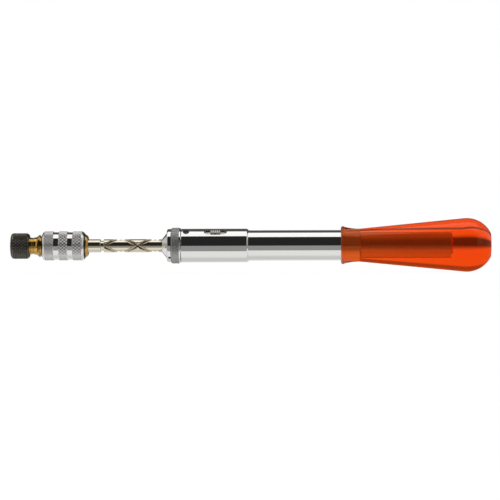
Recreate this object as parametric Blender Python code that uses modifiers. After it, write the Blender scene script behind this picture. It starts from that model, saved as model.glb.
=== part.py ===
"""Spiral-ratchet push drill with a pin-vise collet chuck.

The tool lies along X with the collet towards -X and the handle towards +X, selector side up (+Z).
Every station below is measured along the tool from the front face of the ratchet housing; one parent
empty then moves the whole tool so that the middle of its bounding box is the origin.
"""

import math

import bmesh
import bpy

MM = 0.001

# Fits shared by the whole tool.
FIT = 0.15 * MM  # radial play drawn between nested pieces
GAP = 0.30 * MM  # end play drawn between neighbouring pieces
RUN = 0.30 * MM  # play round the turning spindle and its nuts
PIN_FIT = 0.08 * MM  # play of a small cross pin in its hole
OVERCUT = 1.0 * MM  # how far a cutter reaches past the wall it cuts

# Facets round a turned piece and round a pin.
ROUND_OUTER = 28
ROUND_INNER = 22
ROUND_PIN = 14
ROUND_THIN_PIN = 12

# Barrel: ratchet housing, tube and handle.
TUBE_RADIUS = 8.0 * MM
TUBE_WALL = 0.8 * MM
TUBE_SHOWN = 49.7 * MM
HOUSING_LENGTH = 35.5 * MM
HOUSING_WALL = 0.75 * MM
HOUSING_EDGE = 0.5 * MM
HOUSING_EDGE_LENGTH = 0.7 * MM
HANDLE_LENGTH = 78.6 * MM
HANDLE_SOCKET = 9.6 * MM
HANDLE_LIP_FLARE = 1.45 * MM
HANDLE_FACE_RISE = 0.75 * MM  # how far the front face slopes forward from the lip to the tube
HANDLE_WAIST_WALL = 0.6 * MM
HANDLE_WAIST_PLACE = 9.2 * MM  # behind the lip
HANDLE_THROAT_CURVE = 2.2  # how fast the lip flares out of the waist
HANDLE_BULGE_RADIUS = 14.25 * MM
HANDLE_FLAT_RADIUS = 6.35 * MM
TANG_RADIUS = 4.65 * MM
TANG_LENGTH = 48.6 * MM
TANG_HEAD = 6.6 * MM
TANG_EDGE = 0.65 * MM

# Nose: fixed cap, knurled lock ring and the latch pin.
LOCK_RING_LENGTH = 5.0 * MM
LOCK_RING_RISE = 0.6 * MM  # above the housing
LOCK_RING_TURN = math.radians(50)
NOSE_RING_LENGTH = 2.15 * MM
NOSE_RING_DROP = 0.1 * MM  # below the housing
NOSE_RING_EDGE = 0.9 * MM
NOSE_CONE_LENGTH = 2.5 * MM
NOSE_SHOULDER = 1.9 * MM
NOSE_LIP = 0.3 * MM
NOSE_MOUTH_LENGTH = 1.5 * MM
NOSE_SPIGOT = 4.5 * MM
SPIGOT_PLAY = 0.2 * MM
BUSH_WALL = 1.0 * MM
BUSH_LENGTH = 2.7 * MM
LOCK_RING_EDGE = 0.45 * MM
LOCK_RING_SLANT = 0.75 * MM
LOCK_RING_SLANT_DROP = 0.42 * MM
LOCK_PIN_RADIUS = 0.8 * MM
LOCK_POCKET_DEPTH = 1.2 * MM
SPANNER_HOLE_RADIUS = 0.5 * MM
SPANNER_HOLE_DEPTH = 1.2 * MM
SPANNER_HOLE_ANGLE = math.radians(226)

# Spiral spindle, its stroke and its two nuts.
SPINDLE_RADIUS = 3.45 * MM
SPIRAL_LEAD = 36.5 * MM
SPIRAL_STARTS = 2
SPIRAL_CROSSING = -23.1 * MM  # where two grooves cross on the -Y side
SPIRAL_CROSSING_ANGLE = math.radians(180)
GROOVE_DEPTH = 0.95 * MM
GROOVE_WIDTH = 2.0 * MM
RIB_PLAY = 0.25 * MM
STROKE = 38.5 * MM
STROKE_SPARE = 0.7 * MM
LOCK_GROOVE_DEPTH = 0.8 * MM
LOCK_GROOVE_WIDTH = 1.7 * MM
LOCK_GROOVE_SETBACK = 7.2 * MM
TAIL_RADIUS = 2.3 * MM
GUIDE_WALL = 1.8 * MM
NUT_NOTCHES = 10
NOTCH_DEPTH = 0.9 * MM
NOTCH_FLOOR = math.radians(20)
NOTCH_SLOPE = math.radians(8)
WASHER_LENGTH = 0.8 * MM
RETAINER_LENGTH = 1.6 * MM
IDLE_NUT_SHORTER = 2.0 * MM  # than the drive nut
STOP_LENGTH = 3.0 * MM
STOP_RADIUS = 5.6 * MM
STOP_PIN_RADIUS = 0.6 * MM
FOLLOWER_LENGTH = 5.8 * MM
FOLLOWER_WALL = 0.8 * MM
FOLLOWER_FLOOR = 1.5 * MM
SPRING_WIRE = 0.5 * MM
SPRING_TURNS = 9

# Selector and pawls, on one side of the housing.
SELECTOR_ANGLE = math.radians(126)
SELECTOR_PLACE = 18.2 * MM
SELECTOR_TRAVEL = 3.0 * MM
SLOT_LENGTH = 12.2 * MM
SLOT_WIDTH = 3.9 * MM
SLOT_PLAY = 0.25 * MM
SLOT_END = 1.4 * MM  # left beyond the button's neck, where the slot is rounded
BUTTON_LENGTH = 5.4 * MM
BUTTON_RISE = 0.75 * MM
BUTTON_EDGE = 0.35 * MM
PLATE_THICK = 0.4 * MM
PLATE_SPARE = 1.5 * MM
PLATE_LAP = 0.65 * MM
PAWL_WIDTH = 1.4 * MM
PAWL_PIVOT = 3.1 * MM
PAWL_TAIL = 1.2 * MM
PAWL_HEEL = 4.2 * MM
PAWL_NOSE = 5.6 * MM
PAWL_THICK = 0.6 * MM
PAWL_EYE_RADIUS = 0.55 * MM
PAWL_PIN_RADIUS = 0.25 * MM
PAWL_PIN_REACH = 3.3 * MM
PAWL_BITE = 0.2 * MM
PAWL_LIFT = 0.36 * MM
SCREW_PLACE = 2.65 * MM
SCREW_HEAD_RADIUS = 1.55 * MM
SCREW_SHANK_RADIUS = 0.85 * MM

# Quick-release chuck.
CHUCK_TAPER = 2.3 * MM
CHUCK_COLLAR_RADIUS = 6.4 * MM
CHUCK_COLLAR_LENGTH = 4.4 * MM
CHUCK_RADIUS = 5.7 * MM
CHUCK_LIP = 0.3 * MM
COLLAR_RING_THICK = 1.2 * MM
COLLAR_RING_SEAT = 4.75 * MM
CHUCK_SOCKET_OVERLAP = 2.0 * MM
CHUCK_TAIL_SHOWN = 2.3 * MM
SLEEVE_LENGTH = 22.0 * MM
SLEEVE_RADIUS = 7.8 * MM
SLEEVE_GROOVE_RADIUS = 7.25 * MM
SLEEVE_GROOVES = ((5.7 * MM, 8.8 * MM), (13.1 * MM, 16.1 * MM))
SLEEVE_GROOVE_SLOPE = 0.2 * MM
SLEEVE_FRONT_EDGE = 0.8 * MM
SLEEVE_REAR_EDGE = 0.6 * MM
SLEEVE_EDGE_LENGTH = 1.0 * MM
SLEEVE_TRAVEL = 3.5 * MM
SLEEVE_LAND = 1.6 * MM
SLEEVE_RAMP_SPARE = 0.4 * MM
SLEEVE_SPRING_WIRE = 0.22 * MM
SLEEVE_SPRING_TURNS = 3.5
SLEEVE_SPRING_LENGTH = 5.9 * MM
CLIP_THICK = 0.5 * MM
CLIP_RADIUS = 5.95 * MM
CLIP_GROOVE_DEPTH = 0.95 * MM
CLIP_OPENING = math.radians(50)
BALL_RADIUS = 1.5 * MM
BALL_SETBACK = 7.6 * MM  # from the sleeve's front edge
BALL_LIFT = 0.75 * MM
BALL_ANGLE = math.radians(90)
CHUCK_PIN_RADIUS = 0.75 * MM

# Pin vise held in the chuck.
SHANK_RADIUS = 3.2 * MM
SHANK_LENGTH = 14.3 * MM
VISE_EDGE = 0.4 * MM
FLANGE_RADIUS = 5.9 * MM
FLARE_LENGTH = 2.9 * MM
FLANGE_RIM = 0.5 * MM
NECK_RADIUS = 4.5 * MM
NECK_SHOWN = 2.3 * MM
NECK_IN_NUT = 3.3 * MM
NUT_LENGTH = 10.0 * MM
NUT_OUTER_RADIUS = 6.9 * MM
NUT_FACE_RADIUS = 4.4 * MM
NUT_FRONT_EDGE = 1.3 * MM
NUT_REAR_EDGE = 1.0 * MM
NUT_REAR_LAND = 0.6 * MM
COLLET_PROUD = 0.4 * MM
COLLET_TIP_RADIUS = 2.0 * MM
COLLET_HEAD_RADIUS = 3.9 * MM
COLLET_HEAD_LENGTH = 4.2 * MM
COLLET_TAIL_RADIUS = 2.6 * MM
COLLET_TAIL_LENGTH = 11.0 * MM
COLLET_WELL_SPARE = 2.5 * MM
COLLET_EDGE = 0.2 * MM
COLLET_BORE_RADIUS = 1.1 * MM
COLLET_SLOTS = 3
COLLET_SLOT_WIDTH = 0.5 * MM
COLLET_SLOT_IN_TAIL = 6.0 * MM

# Radii that follow from the driving sizes.
TUBE_BORE = TUBE_RADIUS - TUBE_WALL
HOUSING_BORE = TUBE_RADIUS + FIT
HOUSING_RADIUS = HOUSING_BORE + HOUSING_WALL
LOCK_RING_RADIUS = HOUSING_RADIUS + LOCK_RING_RISE
NOSE_RING_RADIUS = HOUSING_RADIUS - NOSE_RING_DROP
NOSE_CONE_RADIUS = NOSE_RING_RADIUS - NOSE_SHOULDER
GUIDE_RADIUS = HOUSING_BORE - FIT
GUIDE_BORE = GUIDE_RADIUS - GUIDE_WALL
NUT_RADIUS = GUIDE_BORE - RUN
SPIGOT_RADIUS = GUIDE_BORE - SPIGOT_PLAY
SPINDLE_BORE = SPINDLE_RADIUS + FIT
NUT_BORE = SPINDLE_RADIUS + RUN
GROOVE_ROUND = (GROOVE_WIDTH**2 / 4 + GROOVE_DEPTH**2) / (2 * GROOVE_DEPTH)
GROOVE_CENTRE = SPINDLE_RADIUS - GROOVE_DEPTH + GROOVE_ROUND
BUSH_RADIUS = SPINDLE_BORE + BUSH_WALL
PLATE_RADIUS = HOUSING_BORE - 2 * FIT
PLATE_INNER = PLATE_RADIUS - PLATE_THICK
BUTTON_WIDTH = SLOT_WIDTH - 2 * SLOT_PLAY
PAWL_PIN_PLACE = (NUT_RADIUS + PLATE_INNER) / 2
PAWL_FOOT = PAWL_PIN_PLACE - PAWL_THICK / 2
SHANK_BORE = SHANK_RADIUS + FIT
CHUCK_SPINDLE_BORE = SPINDLE_RADIUS + FIT
SLEEVE_BORE = CHUCK_RADIUS + FIT
SLEEVE_CHAMBER = CHUCK_COLLAR_RADIUS + SPIGOT_PLAY
CLIP_SEAT = CHUCK_RADIUS - CLIP_GROOVE_DEPTH
BALL_PLACE = CHUCK_RADIUS - BALL_RADIUS
COLLET_BORE_IN_VISE = COLLET_TAIL_RADIUS + FIT
HANDLE_WAIST_RADIUS = TUBE_RADIUS + FIT + HANDLE_WAIST_WALL
HANDLE_LIP_RADIUS = HANDLE_WAIST_RADIUS + HANDLE_LIP_FLARE

# Stations along the tool.
NOSE_REAR = -(GAP + LOCK_RING_LENGTH + FIT)
NOSE_RING_FRONT = NOSE_REAR - NOSE_RING_LENGTH
NOSE_FRONT = NOSE_RING_FRONT - NOSE_CONE_LENGTH
FRONT_WASHER = NOSE_SPIGOT + GAP
DRIVE_NUT = FRONT_WASHER + WASHER_LENGTH + GAP
SPACER = SELECTOR_PLACE - WASHER_LENGTH / 2
DRIVE_NUT_LENGTH = SPACER - GAP - DRIVE_NUT
IDLE_NUT = SPACER + WASHER_LENGTH + GAP
IDLE_NUT_LENGTH = DRIVE_NUT_LENGTH - IDLE_NUT_SHORTER
RETAINER = IDLE_NUT + IDLE_NUT_LENGTH + GAP
GUIDE_REAR = RETAINER + RETAINER_LENGTH
TUBE_FRONT = GUIDE_REAR + GAP
STOP = GUIDE_REAR + GAP
FOLLOWER = STOP + STOP_LENGTH + 2 * GAP
HANDLE_FRONT = HOUSING_LENGTH + TUBE_SHOWN
TUBE_REAR = HANDLE_FRONT + HANDLE_SOCKET
HANDLE_REAR = HANDLE_FRONT + HANDLE_LENGTH
TANG_FRONT = TUBE_REAR - TANG_HEAD
CHUCK_REAR = NOSE_FRONT - STROKE_SPARE - STROKE
LOCK_GROOVE = CHUCK_REAR + LOCK_GROOVE_SETBACK
LOCK_PIN = LOCK_GROOVE + STROKE
SLEEVE_REAR = CHUCK_REAR - CHUCK_TAIL_SHOWN
SLEEVE_FRONT = SLEEVE_REAR - SLEEVE_LENGTH
BALL = SLEEVE_FRONT + BALL_SETBACK
COLLAR_FRONT = CHUCK_REAR - CHUCK_TAPER - CHUCK_COLLAR_LENGTH
CHUCK_PIN = COLLAR_FRONT + CHUCK_COLLAR_LENGTH / 2
SPRING_SHOULDER = COLLAR_FRONT - GAP - SLEEVE_SPRING_LENGTH - GAP
CLIP = SLEEVE_FRONT - FIT - CLIP_THICK
CHUCK_FRONT = CLIP - 2 * FIT - CHUCK_LIP
SPINDLE_FRONT = COLLAR_FRONT - CHUCK_SOCKET_OVERLAP
FLANGE_REAR = CHUCK_FRONT - FIT
NECK_REAR = FLANGE_REAR - FLANGE_RIM - FLARE_LENGTH
NUT_REAR = NECK_REAR - NECK_SHOWN
NECK_FRONT = NUT_REAR - NECK_IN_NUT
NUT_FRONT = NUT_REAR - NUT_LENGTH
COLLET_FRONT = NUT_FRONT - COLLET_PROUD
COLLET_SHOULDER = COLLET_FRONT + COLLET_HEAD_LENGTH
MIDDLE = (COLLET_FRONT + HANDLE_REAR) / 2

ORIGIN = (0.0, 0.0, 0.0)
ALONG = (math.pi / 2, 0.0, math.pi / 2)  # an outline's plane stands across the tool
RADIAL = (0.0, 0.0, math.pi / 2)  # a turned pin points away from the tool's axis
TANGENT = (0.0, -math.pi / 2, 0.0)  # a turned pin lies across the tool
OUTWARD = (-math.pi / 2, 0.0, 0.0)  # an outline's plane faces away from the tool's axis


def clear_scene():
    for obj in list(bpy.data.objects):
        bpy.data.objects.remove(obj, do_unlink=True)


def principled(name, colour, metallic, roughness):
    material = bpy.data.materials.new(name)
    material.use_nodes = True
    shader = material.node_tree.nodes["Principled BSDF"]
    shader.inputs["Base Color"].default_value = (*colour, 1.0)
    shader.inputs["Metallic"].default_value = metallic
    shader.inputs["Roughness"].default_value = roughness
    return material


def collection(name):
    made = bpy.data.collections.new(name)
    bpy.context.scene.collection.children.link(made)
    return made


def empty(name, parent=None, at=ORIGIN, turn=0.0):
    made = bpy.data.objects.new(name, None)
    PARTS.objects.link(made)
    made.parent = parent
    made.location = at
    made.rotation_euler = (turn, 0.0, 0.0)
    made.empty_display_size = 0.005
    return made


def place(name, mesh, material, parent, at, rotation):
    """A new object: one of the tool's pieces, or a hidden helper shape where there is no material."""
    obj = bpy.data.objects.new(name, mesh)
    (PARTS if material else CUTTERS).objects.link(obj)
    obj.parent = parent
    obj.location = at
    obj.rotation_euler = rotation
    if material:
        mesh.materials.append(material)
    else:
        obj.hide_render = True
        obj.display_type = "WIRE"
    return obj


def turned(name, profile, material, segments=ROUND_INNER, parent=None, at=ORIGIN, rotation=ORIGIN):
    """A lathe shape from (along, radius) points; a profile that starts and ends on the axis is solid."""
    area = sum(a[0] * b[1] - b[0] * a[1] for a, b in zip(profile, profile[1:] + profile[:1]))
    points = profile if area > 0 else profile[::-1]
    solid = points[0][1] == 0 and points[-1][1] == 0
    edges = [(i, i + 1) for i in range(len(points) - 1)]
    if not solid:
        edges.append((len(points) - 1, 0))
    mesh = bpy.data.meshes.new(name)
    mesh.from_pydata([(x, r, 0.0) for x, r in points], edges, [])
    obj = place(name, mesh, material, parent or TOOL, at, rotation)
    screw = obj.modifiers.new("turn", "SCREW")
    screw.axis = "X"
    screw.steps = segments
    screw.render_steps = segments
    screw.use_merge_vertices = True
    screw.merge_threshold = 0.00001
    return obj


def mesh_of(curve):
    """The curve as a closed mesh with its normals facing out."""
    holder = bpy.data.objects.new(curve.name, curve)
    CUTTERS.objects.link(holder)
    mesh = bpy.data.meshes.new_from_object(holder.evaluated_get(bpy.context.evaluated_depsgraph_get()))
    bpy.data.objects.remove(holder)
    work = bmesh.new()
    work.from_mesh(mesh)
    bmesh.ops.remove_doubles(work, verts=work.verts, dist=0.000002)
    bmesh.ops.recalc_face_normals(work, faces=work.faces)
    work.to_mesh(mesh)
    work.free()
    return mesh


def spline(curve, points, cyclic):
    line = curve.splines.new("POLY")
    line.points.add(len(points) - 1)
    for point, place_at in zip(line.points, points):
        point.co = (*place_at, 1.0)
    line.use_cyclic_u = cyclic


def extruded(name, loops, depth, material, parent=None, at=ORIGIN, rotation=ORIGIN):
    """A flat plate from closed outlines, the first one outside and the others holes."""
    curve = bpy.data.curves.new(name, "CURVE")
    curve.dimensions = "2D"
    curve.fill_mode = "BOTH"
    curve.extrude = depth / 2
    for loop in loops:
        spline(curve, [(x, y, 0.0) for x, y in loop], True)
    return place(name, mesh_of(curve), material, parent or TOOL, at, rotation)


def coil(name, radius, wire, start, end, turn, phase, material, parent=None, per_turn=24, sides=2):
    """A round wire wound along X: it turns by the angle turn on its way from start to end."""
    count = max(2, round(abs(turn) / (2 * math.pi) * per_turn))
    points = []
    for i in range(count + 1):
        angle = phase + turn * i / count
        points.append((start + (end - start) * i / count, radius * math.cos(angle), radius * math.sin(angle)))
    curve = bpy.data.curves.new(name, "CURVE")
    curve.dimensions = "3D"
    curve.bevel_depth = wire
    curve.bevel_resolution = sides
    curve.use_fill_caps = True
    spline(curve, points, False)
    return place(name, mesh_of(curve), material, parent or TOOL, ORIGIN, ORIGIN)


def combine(target, tool, operation="DIFFERENCE"):
    modifier = target.modifiers.new(tool.name, "BOOLEAN")
    modifier.operation = operation
    modifier.solver = "EXACT"
    modifier.object = tool


def drill(target, name, reach, radius, parent, at, rotation=RADIAL, segments=ROUND_PIN):
    """A round hole through the target, over the (from, to) reach along the hole's own axis."""
    combine(target, turned(name, rod_profile(*reach, radius), None, segments, parent, at, rotation))


def tube_profile(start, end, inner, outer):
    return [(start, inner), (start, outer), (end, outer), (end, inner)]


def rod_profile(start, end, radius):
    return [(start, 0.0), (start, radius), (end, radius), (end, 0.0)]


def arc(centre, radius, first, last, count):
    return [
        (
            centre[0] + radius * math.cos(first + (last - first) * i / count),
            centre[1] + radius * math.sin(first + (last - first) * i / count),
        )
        for i in range(count + 1)
    ]


def sector(inner, outer, first, last, count=8):
    """Outline of a curved strip, seen along the tool."""
    return arc((0, 0), outer, first, last, count) + arc((0, 0), inner, last, first, count)


def stadium(length, width):
    reach = (length - width) / 2
    right = arc((reach, 0), width / 2, -math.pi / 2, math.pi / 2, 8)
    return right + arc((-reach, 0), width / 2, math.pi / 2, 3 * math.pi / 2, 8)


def rectangle(x0, x1, y0, y1):
    return [(x0, y0), (x1, y0), (x1, y1), (x0, y1)]


def build_barrel():
    bore = TUBE_RADIUS + FIT
    floor = TUBE_REAR + GAP
    well = floor + TANG_LENGTH + GAP
    tang_bore = TANG_RADIUS + FIT
    waist = HANDLE_FRONT + HANDLE_WAIST_PLACE
    centre = HANDLE_REAR - math.sqrt(HANDLE_BULGE_RADIUS**2 - HANDLE_FLAT_RADIUS**2)
    away = centre - waist
    spread = math.acos(HANDLE_BULGE_RADIUS / math.hypot(away, HANDLE_WAIST_RADIUS))
    tangent = math.pi - math.atan2(HANDLE_WAIST_RADIUS, away) - spread
    flat = math.asin(HANDLE_FLAT_RADIUS / HANDLE_BULGE_RADIUS)
    butt = arc((centre, 0), HANDLE_BULGE_RADIUS, tangent, flat, 7)
    drop = HANDLE_LIP_RADIUS - HANDLE_WAIST_RADIUS
    throat = [
        (HANDLE_FRONT + HANDLE_WAIST_PLACE * t, HANDLE_WAIST_RADIUS + drop * (1 - t) ** HANDLE_THROAT_CURVE)
        for t in (0.0, 0.06, 0.2, 0.4, 0.65, 1.0)
    ]
    inside = [
        (well, 0.0),
        (well, tang_bore),
        (floor, tang_bore),
        (floor, bore),
        (HANDLE_FRONT - HANDLE_FACE_RISE, bore),
    ]
    turned("handle", inside + throat + butt + [(HANDLE_REAR, 0.0)], ORANGE, ROUND_OUTER)

    turned("outer_tube", tube_profile(TUBE_FRONT, TUBE_REAR, TUBE_BORE, TUBE_RADIUS), CHROME, ROUND_OUTER)

    head = TUBE_BORE - FIT
    end = floor + TANG_LENGTH
    tang = [
        (TANG_FRONT, 0.0),
        (TANG_FRONT, head),
        (TUBE_REAR, head),
        (TUBE_REAR, TANG_RADIUS),
        (end - TANG_EDGE, TANG_RADIUS),
        (end, TANG_RADIUS - TANG_EDGE),
        (end, 0.0),
    ]
    turned("handle_tang", tang, STEEL)


def build_housing():
    edge = HOUSING_EDGE
    profile = [
        (0.0, HOUSING_BORE),
        (0.0, HOUSING_RADIUS - edge / 2),
        (edge / 2, HOUSING_RADIUS),
        (HOUSING_LENGTH - HOUSING_EDGE_LENGTH, HOUSING_RADIUS),
        (HOUSING_LENGTH, HOUSING_RADIUS - edge),
        (HOUSING_LENGTH, HOUSING_BORE),
    ]
    housing = turned("ratchet_housing", profile, CHROME, ROUND_OUTER)
    slot_depth = HOUSING_WALL + 4 * OVERCUT
    slot_at = (SELECTOR_PLACE, HOUSING_BORE + HOUSING_WALL / 2, 0.0)
    outline = stadium(SLOT_LENGTH, SLOT_WIDTH)
    combine(housing, extruded("slot_cutter", [outline], slot_depth, None, SIDE, slot_at, OUTWARD))
    screw_at = (SCREW_PLACE, 0.0, 0.0)
    reach = (HOUSING_BORE - OVERCUT, HOUSING_RADIUS + OVERCUT)
    drill(housing, "screw_hole_cutter", reach, SCREW_HEAD_RADIUS + FIT, SIDE, screw_at)

    guide = turned("ratchet_guide", tube_profile(GAP, GUIDE_REAR, GUIDE_BORE, GUIDE_RADIUS), STEEL)
    reach = (GUIDE_BORE - OVERCUT, GUIDE_RADIUS + OVERCUT)
    drill(guide, "shank_hole_cutter", reach, SCREW_SHANK_RADIUS + FIT, SIDE, screw_at)
    half_plate = SLOT_LENGTH / 2 + PLATE_SPARE
    window_half = half_plate + SELECTOR_TRAVEL + GAP
    plate_angle = math.asin((SLOT_WIDTH / 2 + PLATE_LAP) / PLATE_RADIUS)
    window_angle = plate_angle + GAP / PLATE_RADIUS
    window = extruded(
        "window_cutter",
        [sector(*reach, -window_angle, window_angle)],
        2 * window_half,
        None,
        SIDE,
        (SELECTOR_PLACE, 0.0, 0.0),
        ALONG,
    )
    combine(guide, window)

    head_foot = GUIDE_RADIUS + FIT
    screw = [
        (GUIDE_BORE + FIT, 0.0),
        (GUIDE_BORE + FIT, SCREW_SHANK_RADIUS),
        (head_foot, SCREW_SHANK_RADIUS),
        (head_foot, SCREW_HEAD_RADIUS),
        (HOUSING_RADIUS - FIT, SCREW_HEAD_RADIUS),
        (HOUSING_RADIUS - FIT, 0.0),
    ]
    turned("housing_screw", screw, STEEL, ROUND_PIN, SIDE, screw_at, RADIAL)

    neck_foot = PLATE_RADIUS + FIT
    shelf = HOUSING_RADIUS + FIT
    top = shelf + BUTTON_RISE
    neck = SLOT_LENGTH / 2 - SELECTOR_TRAVEL - SLOT_END
    half = BUTTON_LENGTH / 2
    side_view = [
        (-neck, neck_foot),
        (neck, neck_foot),
        (neck, shelf),
        (half, shelf),
        (half, top - BUTTON_EDGE),
        (half - BUTTON_EDGE, top),
        (-half + BUTTON_EDGE, top),
        (-half, top - BUTTON_EDGE),
        (-half, shelf),
        (-neck, shelf),
    ]
    extruded("selector_button", [side_view], BUTTON_WIDTH, BRIGHT, SIDE, (SELECTOR_PLACE, 0.0, 0.0))
    plate = sector(PLATE_INNER, PLATE_RADIUS, -plate_angle, plate_angle)
    extruded("selector_plate", [plate], 2 * half_plate, STEEL, SIDE, (SELECTOR_PLACE, 0.0, 0.0), ALONG)
    return guide


def build_pawls(guide):
    """Two pawls on cross pins under the selector; their toes point away from each other."""
    half = PAWL_WIDTH / 2
    down = PAWL_FOOT - PAWL_PIN_PLACE
    up = down + PAWL_THICK
    for name, way, bite in (("drive_pawl", -1, PAWL_BITE), ("idle_pawl", 1, -PAWL_LIFT)):
        at = (SELECTOR_PLACE + way * PAWL_PIVOT, PAWL_PIN_PLACE, 0.0)
        toe = NUT_RADIUS - bite - PAWL_PIN_PLACE
        view = [
            (-way * PAWL_TAIL, down),
            (-way * PAWL_TAIL, up),
            (way * PAWL_NOSE, up),
            (way * PAWL_NOSE, toe),
            (way * PAWL_HEEL, toe),
            (way * PAWL_HEEL, down),
        ]
        pawl = extruded(name, [view], PAWL_WIDTH, STEEL, SIDE, at)
        eye = rod_profile(-half, half, PAWL_EYE_RADIUS)
        combine(pawl, turned(name + "_eye", eye, None, ROUND_PIN, SIDE, at, TANGENT), "UNION")
        hole = PAWL_PIN_RADIUS + PIN_FIT
        reach = half + OVERCUT
        drill(pawl, name + "_bore", (-reach, reach), hole, SIDE, at, TANGENT, ROUND_THIN_PIN)
        pin = rod_profile(-PAWL_PIN_REACH, PAWL_PIN_REACH, PAWL_PIN_RADIUS)
        turned(name + "_pin", pin, STEEL, ROUND_THIN_PIN, SIDE, at, TANGENT)
        seat = PAWL_PIN_REACH + FIT
        drill(guide, name + "_seat", (-seat, seat), hole, SIDE, at, TANGENT, ROUND_THIN_PIN)


def build_nose():
    mouth = SPINDLE_BORE
    step = NOSE_FRONT + NOSE_MOUTH_LENGTH
    socket = BUSH_RADIUS + FIT
    edge_centre = (NOSE_RING_FRONT + NOSE_RING_EDGE, NOSE_RING_RADIUS - NOSE_RING_EDGE)
    profile = [
        (NOSE_FRONT, mouth),
        (NOSE_FRONT, mouth + NOSE_LIP),
        (NOSE_RING_FRONT, NOSE_CONE_RADIUS),
        *arc(edge_centre, NOSE_RING_EDGE, math.pi, math.pi / 2, 3),
        (NOSE_REAR, NOSE_RING_RADIUS),
        (NOSE_REAR, SPIGOT_RADIUS),
        (NOSE_SPIGOT, SPIGOT_RADIUS),
        (NOSE_SPIGOT, socket),
        (step, socket),
        (step, mouth),
    ]
    cap = turned("nose_cap", profile, CHROME, ROUND_OUTER)
    pin_at = (LOCK_PIN, 0.0, 0.0)
    reach = (SPINDLE_RADIUS, SPIGOT_RADIUS + OVERCUT)
    drill(cap, "lock_pin_cutter", reach, LOCK_PIN_RADIUS + FIT, LATCH, pin_at)
    reach = (NOSE_RING_RADIUS - SPANNER_HOLE_DEPTH, NOSE_RING_RADIUS + OVERCUT)
    spanner_at = (NOSE_REAR - SPANNER_HOLE_RADIUS - GAP, 0.0, 0.0)
    spanner_side = empty("spanner_side", TOOL, turn=SPANNER_HOLE_ANGLE)
    drill(cap, "spanner_cutter", reach, SPANNER_HOLE_RADIUS, spanner_side, spanner_at)

    bush_front = step + GAP
    bush = tube_profile(bush_front, bush_front + BUSH_LENGTH, SPINDLE_BORE, BUSH_RADIUS)
    turned("spindle_bush", bush, BRASS)

    front = -(GAP + LOCK_RING_LENGTH)
    rear = -GAP
    bore = SPIGOT_RADIUS + FIT
    ring_profile = [
        (front, bore),
        (front, LOCK_RING_RADIUS - LOCK_RING_EDGE),
        (front + LOCK_RING_EDGE, LOCK_RING_RADIUS),
        (rear - LOCK_RING_SLANT, LOCK_RING_RADIUS),
        (rear, LOCK_RING_RADIUS - LOCK_RING_SLANT_DROP),
        (rear, bore),
    ]
    ring = turned("lock_ring", ring_profile, CHROME, ROUND_OUTER)
    pocket_outer = bore + LOCK_POCKET_DEPTH
    spare = (LOCK_PIN_RADIUS + GAP) / SPIGOT_RADIUS
    pocket = extruded(
        "pocket_cutter",
        [sector(bore - OVERCUT, pocket_outer, -LOCK_RING_TURN - spare, spare)],
        2 * (LOCK_PIN_RADIUS + GAP),
        None,
        LATCH,
        pin_at,
        ALONG,
    )
    combine(ring, pocket)
    latch = rod_profile(SPINDLE_RADIUS + RUN, pocket_outer - GAP, LOCK_PIN_RADIUS)
    turned("lock_pin", latch, STEEL, ROUND_PIN, LATCH, pin_at, RADIAL)


def spiral_angle(hand, station):
    """Angle of one start of the groove of that hand (+1 right, -1 left) at a station of the tool."""
    return SPIRAL_CROSSING_ANGLE + hand * 2 * math.pi * (station - SPIRAL_CROSSING) / SPIRAL_LEAD


def spiral_wire(name, hand, begin, radius, start, end):
    """One start of a spiral; the two hands take unlike steps, so no two crossing points coincide."""
    turn = hand * 2 * math.pi * (end - start) / SPIRAL_LEAD
    phase = spiral_angle(hand, start) + 2 * math.pi * begin / SPIRAL_STARTS
    return coil(name, GROOVE_CENTRE, radius, start, end, turn, phase, None, per_turn=16 if hand > 0 else 15)


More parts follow.
